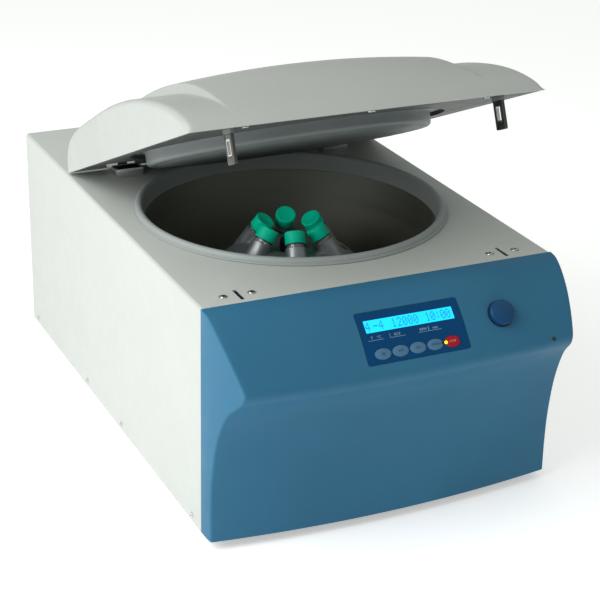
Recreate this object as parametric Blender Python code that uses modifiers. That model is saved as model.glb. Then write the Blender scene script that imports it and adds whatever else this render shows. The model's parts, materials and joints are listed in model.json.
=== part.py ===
"""Benchtop refrigerated centrifuge with its lid open and a loaded fixed-angle rotor.

Metres, +Z up. The object stands on Z = 0, centred on X and Y; its control panel faces -Y.
"""

import math

import bmesh
import bpy
import numpy as np
from mathutils import Matrix, Vector

# ---------------------------------------------------------------- driving sizes
WIDTH = 0.430
CASE_DEPTH = 0.629
CASE_HEIGHT = 0.270
FOOT_HEIGHT = 0.012
PANEL_REACH = 0.0869
REAR_REACH = 0.004
SHEET = 0.0015
GAP = 0.0003
RING_SEGMENTS = 44

FRONT_Y = PANEL_REACH - (CASE_DEPTH + PANEL_REACH + REAR_REACH) / 2
BACK_Y = FRONT_Y + CASE_DEPTH
FLOOR_Z = FOOT_HEIGHT
TOP_Z = FLOOR_Z + CASE_HEIGHT
INNER_HALF_WIDTH = WIDTH / 2 - SHEET - GAP

# chamber and rotor
ROTOR_Y = FRONT_Y + 0.244
MOUTH_RADIUS = 0.184
BOWL_RADIUS = 0.1765
BOWL_DEPTH = 0.135
BOWL_WALL = 0.0012
BOWL_FLOOR_RADIUS = 0.150
TUBE_COUNT = 6
TUBE_TILT = math.radians(35)
FIRST_TUBE_ANGLE = math.radians(15)
CAP_CIRCLE = 0.036
CAP_DROP = 0.028
CAP_RADIUS = 0.01225
CAP_HEIGHT = 0.015
SLEEVE_RADIUS = 0.0128
TUBE_RADIUS = 0.0105

# front panel
PANEL_WALL = 0.0025
PANEL_BOW = 0.016
RIDGE_FORWARD = 0.0822
RIDGE_HEIGHT = 0.2020
RIDGE_BOW = (0.0043, -0.0052)
SIDE_SWEEP = 0.015
FACE_SLOPE_START = 0.017
PANEL_WINDOW = (0.100, 0.012)
PANEL_DEEP = 0.02

# keypad, seen along the face: X from the middle, drop along the slope
KEYPAD_X = 0.0070
KEYPAD_DROP = 0.0553
KEYPAD_SIZE = (0.1240, 0.0592)
KEYPAD_THICKNESS = 0.0008
WINDOW_X = KEYPAD_X - 0.0008
WINDOW_DROP = 0.0424
WINDOW_SIZE = (0.1077, 0.0144)
BUTTON_DROP = 0.0745
BUTTON_PITCH = 0.0211
BUTTON_SIZE = (0.0194, 0.0127)
BUTTON_COUNT = 5
KNOB_X = 0.1164
KNOB_DROP = 0.0536
KNOB_RADIUS = 0.0145

# lid
LID_OPEN = math.radians(23.4)
LID_HALF_WIDTH = 0.2130
LID_LENGTH = 0.457
LID_FRONT_BOW = 0.0055
LID_WALL = 0.0025
LID_STEP_X = 0.1555
LID_RISE = 0.0115
LID_CROWN = 0.0090
LID_RISE_REAR = (0.041, 0.050)
LID_RISE_FRONT = (0.295, 0.435)
PIVOT_FORWARD = 0.0095
PIVOT_UP = 0.012
PIVOT_Y = FRONT_Y + 0.4488
PIVOT_Z = TOP_Z + 0.0160
LINER_LEVEL = 0.005
LINER_THICKNESS = 0.002
DISC_LEVEL = -0.0140
DISC_RADIUS = 0.1735

# latch
LATCH_X = 0.1630
SLOT_Y = FRONT_Y + 0.0203
SLOT_LENGTH = 0.0270
SLOT_WIDTH = 0.0052
STRIKER_WIDTH = 0.0195
STRIKER_THICKNESS = 0.0034
STRIKER_HANG = 0.037
STRIKER_FORWARD = PIVOT_Y + PIVOT_FORWARD - SLOT_Y - 0.0018
STRIKER_WINDOW = (-0.0280, -0.0100)

# hinges
HINGE_X = 0.1437
HINGE_WIDTH = 0.0352
HINGE_FRONT_Y = FRONT_Y + 0.4148
KNUCKLE_WIDTH = 0.0130
KNUCKLE_RADIUS = 0.0052
PIN_RADIUS = 0.0020
HINGE_ROD_REACH = 0.1610

# base, rear panel, cooling and power
SIDES = (("left", -1), ("right", 1))
BASE_THICKNESS = 0.002
FOOT_X = 0.160
FOOT_ROWS = (("front", FRONT_Y + 0.060), ("rear", BACK_Y - 0.055))
VENT_COUNT = 9
VENT_SIZE = (0.140, 0.006)
VENT_PITCH = 0.016
VENT_X = 0.105
VENT_FIRST_Z = FLOOR_Z + 0.030
INLET_X = -0.110
INLET_Z = FLOOR_Z + 0.050
INLET_BODY = (0.0276, 0.0206)
SWITCH_X = -0.150
FAN_Z = FLOOR_Z + 0.095
FAN_Y = BACK_Y - 0.058
FAN_BLADES = 5
COMPRESSOR_SPOT = (-0.115, BACK_Y - 0.085)
PROBE_SPOT = (0.105, 0.085)
MOTOR_FLANGE = 0.1060
MOTOR_TOP = 0.1200
DAMPER_COUNT = 3
DAMPER_CIRCLE = 0.076

# side-view outline of the front panel at its corner: (forward, height above the case bottom)
PANEL_OUTLINE = [
    (0.0000, 0.2700),
    (0.0150, 0.2678),
    (0.0470, 0.2448),
    (0.0757, 0.2130),
    (0.0822, 0.2020),
    (0.0800, 0.1935),
    (0.0560, 0.1685),
    (0.0375, 0.1300),
    (0.0270, 0.0800),
    (0.0245, 0.0400),
    (0.0250, 0.0000),
]

# side-view outline of the lid's cheek: (forward from its rear edge, height above its rim)
LID_OUTLINE = [
    (0.000, 0.000),
    (0.004, 0.017),
    (0.016, 0.0345),
    (0.041, 0.0460),
    (0.119, 0.0553),
    (0.215, 0.0600),
    (0.304, 0.0540),
    (0.392, 0.0350),
    (0.443, 0.0125),
    (0.457, 0.0000),
]


# ---------------------------------------------------------------- scene and helpers
def clear_scene():
    for thing in list(bpy.data.objects):
        bpy.data.objects.remove(thing, do_unlink=True)


def new_collection(name):
    made = bpy.data.collections.new(name)
    bpy.context.scene.collection.children.link(made)
    return made


def principled(name, colour, roughness, metallic=0.0):
    made = bpy.data.materials.new(name)
    made.use_nodes = True
    shader = made.node_tree.nodes["Principled BSDF"]
    shader.inputs["Base Color"].default_value = (*colour, 1.0)
    shader.inputs["Roughness"].default_value = roughness
    shader.inputs["Metallic"].default_value = metallic
    made.diffuse_color = (*colour, 1.0)
    return made


def place(name, mesh, material, parent=None, matrix=None):
    """Link a mesh as a named sub-part; a parent empty carries what moves."""
    made = bpy.data.objects.new(name, mesh)
    PARTS.objects.link(made)
    mesh.materials.clear()
    mesh.materials.append(material)
    if matrix is not None:
        made.matrix_world = matrix
    if parent is not None:
        made.parent = parent
    return made


def smooth(thing, degrees=35):
    thing.data.shade_smooth()
    thing.data.set_sharp_from_angle(angle=math.radians(degrees))


def finished_mesh(name, work):
    mesh = bpy.data.meshes.new(name)
    bmesh.ops.recalc_face_normals(work, faces=work.faces)
    work.to_mesh(mesh)
    work.free()
    return mesh


def box_mesh(name, low, high):
    low, high = Vector(low), Vector(high)
    work = bmesh.new()
    size = Matrix.Diagonal((*(high - low), 1.0))
    bmesh.ops.create_cube(work, size=1.0, matrix=Matrix.Translation((low + high) / 2) @ size)
    return finished_mesh(name, work)


def cylinder_mesh(name, radius, low, high, segments=24, top_radius=None):
    """A cylinder or cone along local Z from low to high."""
    work = bmesh.new()
    bmesh.ops.create_cone(
        work,
        cap_ends=True,
        segments=segments,
        radius1=radius,
        radius2=radius if top_radius is None else top_radius,
        depth=high - low,
        matrix=Matrix.Translation((0, 0, (low + high) / 2)),
    )
    return finished_mesh(name, work)


def turned_mesh(name, outline, segments=RING_SEGMENTS):
    """Turn a closed (radius, height) outline about local Z."""
    work = bmesh.new()
    verts = [work.verts.new((r, 0, z)) for r, z in outline]
    edges = [work.edges.new((a, b)) for a, b in zip(verts, verts[1:] + verts[:1])]
    bmesh.ops.spin(
        work,
        geom=verts + edges,
        axis=(0, 0, 1),
        cent=(0, 0, 0),
        steps=segments,
        angle=math.tau,
        use_merge=True,
    )
    bmesh.ops.remove_doubles(work, verts=work.verts, dist=1e-6)
    return finished_mesh(name, work)


def prism_mesh(name, outline, low, high, axis="Z"):
    """Extrude a closed flat outline from low to high along the named axis."""
    work = bmesh.new()
    verts = [work.verts.new((a, b, low)) for a, b in outline]
    face = work.faces.new(verts)
    grown = bmesh.ops.extrude_face_region(work, geom=[face])["geom"]
    lifted = [g for g in grown if isinstance(g, bmesh.types.BMVert)]
    bmesh.ops.translate(work, verts=lifted, vec=(0, 0, high - low))
    if axis == "X":
        # outline (a, b) becomes (Y, Z), and the extrusion runs along X
        turn = Matrix(((0, 0, 1, 0), (1, 0, 0, 0), (0, 1, 0, 0), (0, 0, 0, 1)))
        bmesh.ops.transform(work, matrix=turn, verts=work.verts)
    return finished_mesh(name, work)


def rounded_rectangle(width, height, radius, steps=4):
    corners = [(1, 1, 0), (-1, 1, 90), (-1, -1, 180), (1, -1, 270)]
    points = []
    for sx, sy, start in corners:
        cx, cy = sx * (width / 2 - radius), sy * (height / 2 - radius)
        for n in range(steps + 1):
            a = math.radians(start + 90 * n / steps)
            points.append((cx + radius * math.cos(a), cy + radius * math.sin(a)))
    return points


def ellipse(width, height, steps=24):
    turn = [math.tau * n / steps for n in range(steps)]
    return [(width / 2 * math.cos(a), height / 2 * math.sin(a)) for a in turn]


def arc(centre, radius, start, end, steps):
    """Points (a, b) of an arc, its angles in degrees."""
    turn = np.radians(np.linspace(start, end, steps + 1))
    return [(centre[0] + radius * math.cos(a), centre[1] + radius * math.sin(a)) for a in turn]


def spline(points, steps):
    """A smooth curve through the points, with the given steps between each two."""
    p = [np.array(q, float) for q in points]
    p = [2 * p[0] - p[1], *p, 2 * p[-1] - p[-2]]
    made = []
    for a, b, c, d in zip(p, p[1:], p[2:], p[3:]):
        first, middle, last = (math.sqrt(np.linalg.norm(v - u)) for u, v in ((a, b), (b, c), (c, d)))
        start = (b - a) / first - (c - a) / (first + middle) + (c - b) / middle
        end = (c - b) / middle - (d - b) / (middle + last) + (d - c) / last
        start, end = start * middle, end * middle
        for n in range(steps):
            t = n / steps
            made.append(
                b * (2 * t**3 - 3 * t**2 + 1)
                + start * (t**3 - 2 * t**2 + t)
                + c * (3 * t**2 - 2 * t**3)
                + end * (t**3 - t**2)
            )
    made.append(p[-2])
    return made


def ease(t):
    t = min(max(t, 0.0), 1.0)
    return t * t * (3 - 2 * t)


def cutter(name, mesh, matrix=None):
    made = bpy.data.objects.new(name, mesh)
    CUTTERS.objects.link(made)
    made.display_type = "WIRE"
    made.hide_render = True
    if matrix is not None:
        made.matrix_world = matrix
    return made


def boolean(target, tool, operation="DIFFERENCE"):
    step = target.modifiers.new(tool.name, "BOOLEAN")
    step.operation = operation
    step.solver = "EXACT"
    step.object = tool


def pivot_empty(name, matrix):
    made = bpy.data.objects.new(name, None)
    PARTS.objects.link(made)
    made.matrix_world = matrix
    return made


# ---------------------------------------------------------------- casing
def make_base_plate():
    low = (-INNER_HALF_WIDTH, FRONT_Y + 0.001, FLOOR_Z)
    high = (INNER_HALF_WIDTH, BACK_Y - 0.0005, FLOOR_Z + BASE_THICKNESS)
    place("base_plate", box_mesh("base_plate", low, high), STEEL)


def make_housing():
    """One folded sheet: the top and both sides, open at the front, back and bottom."""
    work = bmesh.new()
    size = Matrix.Diagonal((WIDTH, CASE_DEPTH, CASE_HEIGHT, 1.0))
    centre = Matrix.Translation((0, (FRONT_Y + BACK_Y) / 2, FLOOR_Z + CASE_HEIGHT / 2))
    bmesh.ops.create_cube(work, size=1.0, matrix=centre @ size)
    open_sides = [f for f in work.faces if f.normal.z < -0.5 or abs(f.normal.y) > 0.5]
    bmesh.ops.delete(work, geom=open_sides, context="FACES")
    folds = [e for e in work.edges if not e.is_boundary]
    bmesh.ops.bevel(work, geom=folds, offset=0.004, segments=3, affect="EDGES", profile=0.5)
    housing = place("housing", finished_mesh("housing", work), PAINT)
    skin = housing.modifiers.new("sheet", "SOLIDIFY")
    skin.thickness = SHEET
    skin.offset = -1
    skin.use_even_offset = True
    mouth = cylinder_mesh("mouth", MOUTH_RADIUS, -0.02, 0.02, RING_SEGMENTS)
    boolean(housing, cutter("mouth", mouth, Matrix.Translation((0, ROTOR_Y, TOP_Z))))
    for side, x in SIDES:
        name = f"slot_{side}"
        outline = rounded_rectangle(SLOT_WIDTH, SLOT_LENGTH, SLOT_WIDTH / 2 - 0.0002)
        mesh = prism_mesh(name, outline, -0.01, 0.01)
        boolean(housing, cutter(name, mesh, Matrix.Translation((x * LATCH_X, SLOT_Y, TOP_Z))))
    smooth(housing)


def make_rear_panel():
    low, high, cut = BASE_THICKNESS + GAP, CASE_HEIGHT - SHEET - GAP, 0.004
    half = INNER_HALF_WIDTH
    outline = [
        (-half, low),
        (half, low),
        (half, high - cut),
        (half - cut, high),
        (cut - half, high),
        (-half, high - cut),
    ]
    mesh = prism_mesh("rear_panel", outline, -0.002, 0.0)
    panel = place("rear_panel", mesh, PAINT, matrix=facing_back(0, FLOOR_Z, BACK_Y))
    for n in range(VENT_COUNT):
        z = VENT_FIRST_Z + n * VENT_PITCH
        name = f"vent_{n}"
        outline = rounded_rectangle(VENT_SIZE[0], VENT_SIZE[1], VENT_SIZE[1] / 2 - 0.0003, 2)
        mesh = prism_mesh(name, outline, -0.01, 0.01)
        boolean(panel, cutter(name, mesh, facing_back(VENT_X, z, BACK_Y)))
    inlet = prism_mesh("inlet_hole", rounded_rectangle(0.0282, 0.0212, 0.002), -0.01, 0.01)
    boolean(panel, cutter("inlet_hole", inlet, facing_back(INLET_X, INLET_Z, BACK_Y)))
    switch = prism_mesh("switch_hole", rounded_rectangle(0.0206, 0.0286, 0.001, 2), -0.01, 0.01)
    boolean(panel, cutter("switch_hole", switch, facing_back(SWITCH_X, INLET_Z, BACK_Y)))


def facing_back(x, z, y):
    """Local X to the left seen from behind, local Y up and local Z out of the rear panel."""
    turn = Matrix.Rotation(math.pi, 4, "Z") @ Matrix.Rotation(math.pi / 2, 4, "X")
    return Matrix.Translation((x, y, z)) @ turn


def side_reach(forward):
    """Half width of the front panel at a distance in front of the case."""
    return WIDTH / 2 - SIDE_SWEEP * (forward / RIDGE_FORWARD) ** 2


def offset_outline(points, inset):
    """Move each point of the panel's outline inwards along the outline's normal."""
    p = np.array(points)
    along = np.gradient(p, axis=0)
    along /= np.linalg.norm(along, axis=1)[:, None]
    inwards = np.stack([along[:, 1], -along[:, 0]], axis=1)
    return p + inwards * inset


def bow_at(u, height):
    """How far the panel is moved at u (-1 to 1 across) from its corner outline: (forward, up).

    The upper face is straight across. The ridge dips and comes forward in the middle, and
    below it the panel bows forward more and more.
    """
    middle = 1 - u * u
    if height > RIDGE_HEIGHT:
        share = ease((RIDGE_HEIGHT + 0.036 - height) / 0.036) * middle
        return RIDGE_BOW[0] * share, RIDGE_BOW[1] * share
    share = ease((RIDGE_HEIGHT - height) / 0.090)
    forward = RIDGE_BOW[0] + (PANEL_BOW - RIDGE_BOW[0]) * share
    return forward * middle, RIDGE_BOW[1] * (1 - share) * middle


def panel_block(name, inset, back, bottom):
    """The panel as a closed block: its rows go down the outline, its columns go once around."""
    rows = spline(PANEL_OUTLINE, 2)
    rows = offset_outline(rows, inset) if inset else np.array(rows)
    if inset:
        rows[0] = (0.0, CASE_HEIGHT - inset)
        rows[-1] = (rows[-2][0], bottom)
    across = np.linspace(-1, 1, 11)
    deep = np.linspace(0, 1, 4)[:-1]
    work = bmesh.new()
    grid = []
    for forward, height in rows:
        forward = max(forward, 0.0)
        ring = []
        for share in deep:
            y = back + (forward - back) * share
            ring.append((-side_reach(max(y, 0)) + inset, y, 0.0))
        for u in across:
            bow = bow_at(u, height)
            ring.append((u * (side_reach(forward) - inset), forward + bow[0], bow[1]))
        for share in deep[::-1]:
            y = back + (forward - back) * share
            ring.append((side_reach(max(y, 0)) - inset, y, 0.0))
        for u in across[-2:0:-1]:
            ring.append((u * (side_reach(0) - inset), back, 0.0))
        level = FLOOR_Z + height
        grid.append([work.verts.new((x, FRONT_Y - GAP - y, level + dz)) for x, y, dz in ring])
    for upper, lower in zip(grid, grid[1:]):
        count = len(upper)
        for n in range(count):
            m = (n + 1) % count
            work.faces.new((upper[n], upper[m], lower[m], lower[n]))
    work.faces.new(grid[-1])
    if inset:
        work.faces.new(grid[0][::-1])
    bmesh.ops.remove_doubles(work, verts=work.verts, dist=1e-6)
    bmesh.ops.dissolve_degenerate(work, edges=work.edges, dist=1e-7)
    return finished_mesh(name, work)


def face_frame(x, drop, lift=0.0):
    """A frame on the panel's sloping face: local X across, local Y up the slope, local Z out."""
    rows = np.array(spline(PANEL_OUTLINE[:6], 8))

    def point(px, length):
        pu = px / (WIDTH / 2)
        places = np.array([np.array(row) + bow_at(pu, row[1]) for row in rows])
        start = np.interp(FACE_SLOPE_START, places[:, 0], np.arange(len(places)))
        steps = np.linalg.norm(np.diff(places, axis=0), axis=1)
        run = np.concatenate([[0], np.cumsum(steps)])
        length = length + np.interp(start, np.arange(len(run)), run)
        forward = np.interp(length, run, places[:, 0])
        height = np.interp(length, run, places[:, 1])
        return Vector((px, FRONT_Y - GAP - forward, FLOOR_Z + height))

    step = 0.004
    here = point(x, drop)
    up = (point(x, drop - step) - point(x, drop + step)).normalized()
    across = (point(x + step, drop) - point(x - step, drop)).normalized()
    out = across.cross(up).normalized()
    across = up.cross(out)
    here = here + out * lift
    turn = Matrix((across, up, out)).transposed().to_4x4()
    return Matrix.Translation(here) @ turn


def make_front_panel():
    outer = panel_block("front_panel", 0.0, 0.0, 0.0)
    panel = place("front_panel", outer, PANEL_BLUE)
    inner = panel_block("panel_hollow", PANEL_WALL, -0.01, -0.01)
    boolean(panel, cutter("panel_hollow", inner))
    window = prism_mesh("panel_window", rounded_rectangle(*PANEL_WINDOW, 0.001, 1), -PANEL_DEEP, PANEL_DEEP)
    boolean(panel, cutter("panel_window", window, face_frame(WINDOW_X, WINDOW_DROP)))
    for n in range(BUTTON_COUNT):
        name = f"panel_button_{n + 1}"
        outline = ellipse(BUTTON_SIZE[0] + 0.001, BUTTON_SIZE[1] + 0.001)
        hole = prism_mesh(name, outline, -PANEL_DEEP, PANEL_DEEP)
        boolean(panel, cutter(name, hole, button_frame(n)))
    shaft_hole = cylinder_mesh("panel_shaft_hole", 0.0045, -PANEL_DEEP, PANEL_DEEP, 16)
    boolean(panel, cutter("panel_shaft_hole", shaft_hole, face_frame(KNOB_X, KNOB_DROP)))
    smooth(panel)


def button_frame(n):
    """Frame of button n, flush with the face."""
    middle = (BUTTON_COUNT - 1) / 2
    return face_frame(KEYPAD_X + (n - middle) * BUTTON_PITCH, BUTTON_DROP)


def keypad_surface(name, size, x, drop, low, high, across=8, down=4):
    """A thin slab that follows the face, from low to high above it."""
    work = bmesh.new()
    layers = []
    for lift in (low, high):
        layer = []
        for j in range(down + 1):
            row = []
            for i in range(across + 1):
                px = x + size[0] * (i / across - 0.5)
                pd = drop + size[1] * (j / down - 0.5)
                row.append(work.verts.new(face_frame(px, pd, lift).translation))
            layer.append(row)
        layers.append(layer)
    bottom, top = layers
    for j in range(down):
        for i in range(across):
            work.faces.new((top[j][i], top[j + 1][i], top[j + 1][i + 1], top[j][i + 1]))
            under = (bottom[j][i], bottom[j][i + 1], bottom[j + 1][i + 1], bottom[j + 1][i])
            work.faces.new(under)
    for i in range(across):
        work.faces.new((top[0][i], top[0][i + 1], bottom[0][i + 1], bottom[0][i]))
        work.faces.new((top[down][i], bottom[down][i], bottom[down][i + 1], top[down][i + 1]))
    for j in range(down):
        work.faces.new((top[j][0], bottom[j][0], bottom[j + 1][0], top[j + 1][0]))
        work.faces.new((top[j][across], top[j + 1][across], bottom[j + 1][across], bottom[j][across]))
    return finished_mesh(name, work)


def make_keypad():
    slab = keypad_surface(
        "keypad", KEYPAD_SIZE, KEYPAD_X, KEYPAD_DROP, GAP, GAP + KEYPAD_THICKNESS
    )
    keypad = place("keypad", slab, KEYPAD_BLUE)
    width, height = WINDOW_SIZE
    outline = rounded_rectangle(width + 0.0010, height + 0.0010, 0.0006, 1)
    hole = prism_mesh("keypad_window", outline, -PANEL_DEEP, PANEL_DEEP)
    boolean(keypad, cutter("keypad_window", hole, face_frame(WINDOW_X, WINDOW_DROP)))
    for n in range(BUTTON_COUNT):
        name = f"keypad_button_{n + 1}"
        outline = ellipse(BUTTON_SIZE[0] + 0.0008, BUTTON_SIZE[1] + 0.0008)
        hole = prism_mesh(name, outline, -PANEL_DEEP, PANEL_DEEP)
        boolean(keypad, cutter(name, hole, button_frame(n)))
    glass = keypad_surface("display", WINDOW_SIZE, WINDOW_X, WINDOW_DROP, GAP, GAP + 0.0007, 8, 1)
    place("display", glass, LIT_GLASS)


def make_buttons():
    for n in range(BUTTON_COUNT):
        name = "button_stop" if n == BUTTON_COUNT - 1 else f"button_{n + 1}"
        mesh = prism_mesh(name, ellipse(*BUTTON_SIZE), -0.0030, 0.0018)
        place(name, mesh, STOP_RED if name == "button_stop" else KEY_BLUE, matrix=button_frame(n))


def make_knob():
    dome = arc((0.0, -0.0190), 0.0285, 90, 61.5, 4)
    outline = [
        *dome,
        (KNOB_RADIUS, 0.0045),
        (KNOB_RADIUS - 0.0006, 0.0008),
        (0.0040, 0.0008),
        (0.0040, -0.0090),
        (0.0, -0.0090),
    ]
    mesh = turned_mesh("knob", outline, 24)
    place("knob", mesh, KNOB_BLUE, matrix=face_frame(KNOB_X, KNOB_DROP))


def make_control_board():
    """The board behind the panel's face."""
    board = box_mesh("control_board", (-0.080, -0.0008, -0.050), (0.100, 0.0008, 0.045))
    spot = Matrix.Translation((0, FRONT_Y - 0.004, FLOOR_Z + 0.190))
    place("control_board", board, BOARD_GREEN, matrix=spot @ Matrix.Rotation(math.radians(-20), 4, "X"))


def make_feet():
    outline = [
        (0.0, 0.0),
        (0.0150, 0.0),
        (0.0175, 0.0020),
        (0.0185, 0.0110),
        (0.0185, FOOT_HEIGHT - GAP),
        (0.0, FOOT_HEIGHT - GAP),
    ]
    for row, y in FOOT_ROWS:
        for side, x in SIDES:
            name = f"foot_{row}_{side}"
            spot = Matrix.Translation((x * FOOT_X, y, 0))
            place(name, turned_mesh(name, outline, 20), RUBBER, matrix=spot)


# ---------------------------------------------------------------- chamber
def axis_at(z):
    return Matrix.Translation((0, ROTOR_Y, z))


def bowl_outline(grow):
    """The bowl's inner side from the rim to the floor's drain collar, moved outwards by grow."""
    corner = 0.022
    floor = -BOWL_DEPTH
    wall_low = (BOWL_FLOOR_RADIUS + corner * 0.85, floor + corner)
    points = [(BOWL_RADIUS + grow, -0.0145), (wall_low[0] + grow, wall_low[1])]
    for n in (1, 2):
        a = math.radians(30 * n)
        radius = BOWL_FLOOR_RADIUS + (corner * 0.85 + grow) * math.cos(a)
        points.append((radius, floor + corner - (corner + grow) * math.sin(a)))
    points.append((BOWL_FLOOR_RADIUS, floor - grow))
    return points


def make_bowl():
    inner = bowl_outline(0.0)
    outer = bowl_outline(BOWL_WALL)
    hole = 0.030
    outline = [
        (MOUTH_RADIUS - 0.0015, -0.0145),
        *inner,
        (hole, -BOWL_DEPTH),
        (hole, -BOWL_DEPTH - BOWL_WALL),
        *outer[::-1][:-1],
        (BOWL_RADIUS + BOWL_WALL, -0.0145 - BOWL_WALL),
        (MOUTH_RADIUS - 0.0015, -0.0145 - BOWL_WALL),
    ]
    place("bowl", turned_mesh("bowl", outline), STAINLESS, matrix=axis_at(TOP_Z))


def make_bowl_seal():
    outline = [
        (0.1905, GAP),
        (0.1905, 0.0016),
        (0.1885, 0.0026),
        (0.1872, 0.0056),
        (0.1840, 0.0080),
        (0.1805, 0.0072),
        (0.1785, 0.0040),
        (0.1778, -0.0020),
        (0.1768, -0.0142),
        (MOUTH_RADIUS - 0.0004, -0.0142),
        (MOUTH_RADIUS - 0.0004, GAP),
    ]
    place("bowl_seal", turned_mesh("bowl_seal", outline), SEAL_GREY, matrix=axis_at(TOP_Z))


def make_insulation():
    outer = bowl_outline(BOWL_WALL + GAP)
    top = -SHEET - GAP
    ledge = -0.0145 - BOWL_WALL - GAP
    outline = [
        (0.2045, top),
        (MOUTH_RADIUS, top),
        (MOUTH_RADIUS, ledge),
        (outer[0][0], ledge),
        *outer[1:],
        (0.072, -BOWL_DEPTH - BOWL_WALL - GAP),
        (0.072, -BOWL_DEPTH - 0.014),
        (0.2045, -BOWL_DEPTH - 0.014),
    ]
    place("insulation", turned_mesh("insulation", outline), FOAM, matrix=axis_at(TOP_Z))


def make_motor():
    outline = [
        (0.0, 0.030),
        (0.046, 0.030),
        (0.050, 0.034),
        (0.050, MOTOR_FLANGE + GAP),
        (0.066, MOTOR_FLANGE + GAP),
        (0.066, MOTOR_FLANGE + 0.0050),
        (0.026, MOTOR_FLANGE + 0.0050),
        (0.022, MOTOR_TOP),
        (0.0, MOTOR_TOP),
    ]
    place("motor", turned_mesh("motor", outline, 24), MOTOR_GREY, matrix=axis_at(FLOOR_Z))
    plate = 0.005
    ring = [(0.0515, -plate), (0.092, -plate), (0.092, 0.0), (0.0515, 0.0)]
    spot = axis_at(FLOOR_Z + MOTOR_FLANGE)
    place("motor_mount", turned_mesh("motor_mount", ring, 24), STEEL, matrix=spot)
    low, high = BASE_THICKNESS + GAP, MOTOR_FLANGE - plate - GAP
    waist = (low + high) / 2
    rubber = [
        (0.0, low),
        (0.013, low),
        (0.013, low + 0.012),
        (0.010, waist),
        (0.013, high - 0.012),
        (0.013, high),
        (0.0, high),
    ]
    for n in range(DAMPER_COUNT):
        name = f"damper_{n + 1}"
        a = math.radians(90) + n * math.tau / DAMPER_COUNT
        x, y = DAMPER_CIRCLE * math.cos(a), ROTOR_Y + DAMPER_CIRCLE * math.sin(a)
        place(name, turned_mesh(name, rubber, 16), RUBBER, matrix=Matrix.Translation((x, y, FLOOR_Z)))


def make_spindle():
    low = MOTOR_TOP + GAP - CASE_HEIGHT
    outline = [
        (0.0, low),
        (0.0100, low),
        (0.0100, -0.1080),
        (0.0065, -0.0720),
        (0.0065, -0.0660),
        (0.0, -0.0660),
    ]
    place("spindle", turned_mesh("spindle", outline, 20), STAINLESS, matrix=axis_at(TOP_Z))


# ---------------------------------------------------------------- rotor and tubes
def tube_frame(n):
    """Frame of tube n: its origin in the middle of the cap, local Z up the tube."""
    a = FIRST_TUBE_ANGLE + n * math.tau / TUBE_COUNT
    spot = (CAP_CIRCLE * math.cos(a), ROTOR_Y + CAP_CIRCLE * math.sin(a), TOP_Z - CAP_DROP)
    lean = Matrix.Rotation(a, 4, "Z") @ Matrix.Rotation(-TUBE_TILT, 4, "Y")
    return Matrix.Translation(spot) @ lean


def make_rotor():
    sleeve_top = -CAP_HEIGHT / 2 - 0.005
    sleeve_low = -0.0980
    pocket_circle = 0.067
    body = [
        (0.0085, -0.0600),
        (0.0200, -0.0560),
        (0.0300, -0.0480),
        (0.0500, -0.0480),
        (0.0750, -0.0620),
        (0.1000, -0.0880),
        (0.1060, -0.0980),
        (0.1060, -0.1130),
        (0.1000, -0.1160),
        (0.0300, -0.1160),
        (0.0260, -0.1200),
        (0.0106, -0.1200),
        (0.0106, -0.1075),
        (0.0070, -0.0715),
        (0.0070, -0.0600),
    ]
    rotor = place("rotor", turned_mesh("rotor", body, 30), ROTOR_GREY, matrix=axis_at(TOP_Z))
    for n in range(TUBE_COUNT):
        sleeve = cylinder_mesh(f"sleeve_{n}", SLEEVE_RADIUS, sleeve_low, sleeve_top, 16)
        boolean(rotor, cutter(f"sleeve_{n}", sleeve, tube_frame(n)), "UNION")
    for n in range(TUBE_COUNT):
        bore = cylinder_mesh(f"bore_{n}", TUBE_RADIUS + 0.0005, -0.0945, 0.01, 14)
        boolean(rotor, cutter(f"bore_{n}", bore, tube_frame(n)))
        a = FIRST_TUBE_ANGLE + (n + 0.5) * math.tau / TUBE_COUNT
        pocket = cylinder_mesh(f"pocket_{n}", 0.0055, -0.012, 0.02, 10)
        x, y = pocket_circle * math.cos(a), ROTOR_Y + pocket_circle * math.sin(a)
        boolean(rotor, cutter(f"pocket_{n}", pocket, Matrix.Translation((x, y, TOP_Z - 0.0575))))
    smooth(rotor)
    nut = [
        (0.0, -0.0597),
        (0.0085, -0.0597),
        (0.0120, -0.0500),
        (0.0120, -0.0430),
        (0.0100, -0.0410),
        (0.0, -0.0410),
    ]
    place("rotor_nut", turned_mesh("rotor_nut", nut, 12), KNOB_BLACK, matrix=axis_at(TOP_Z))


def make_tubes():
    half = CAP_HEIGHT / 2
    bottom = -0.0940
    end = arc((0.0, bottom + TUBE_RADIUS), TUBE_RADIUS, 270, 360, 3)
    glass = [(0.0, half - 0.0020 - GAP), *end, (TUBE_RADIUS, half - 0.0020 - GAP)]
    cap = [
        (0.0, half),
        (0.0, half - 0.0020),
        (TUBE_RADIUS + GAP, half - 0.0020),
        (TUBE_RADIUS + GAP, -half),
        (CAP_RADIUS, -half),
        (CAP_RADIUS, half - 0.0012),
        (CAP_RADIUS - 0.0008, half),
    ]
    for n in range(TUBE_COUNT):
        tube_name, cap_name = f"tube_{n + 1}", f"tube_cap_{n + 1}"
        place(tube_name, turned_mesh(tube_name, glass, 14), CLEAR, matrix=tube_frame(n))
        place(cap_name, turned_mesh(cap_name, cap, 14), CAP_GREEN, matrix=tube_frame(n))


# ---------------------------------------------------------------- lid
def lid_height(x, forward, cheek):
    """Height of the lid's skin: a shoulder at the cheek's height and a raised, crowned middle."""
    raised = ease((LID_STEP_X + 0.0025 - abs(x)) / 0.005)
    rear = ease((forward - LID_RISE_REAR[0]) / (LID_RISE_REAR[1] - LID_RISE_REAR[0]))
    front = 1 - ease((forward - LID_RISE_FRONT[0]) / (LID_RISE_FRONT[1] - LID_RISE_FRONT[0]))
    crown = LID_CROWN * max(1 - (x / LID_STEP_X) ** 2, 0.0)
    return cheek + (LID_RISE + crown) * raised * rear * front


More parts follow.
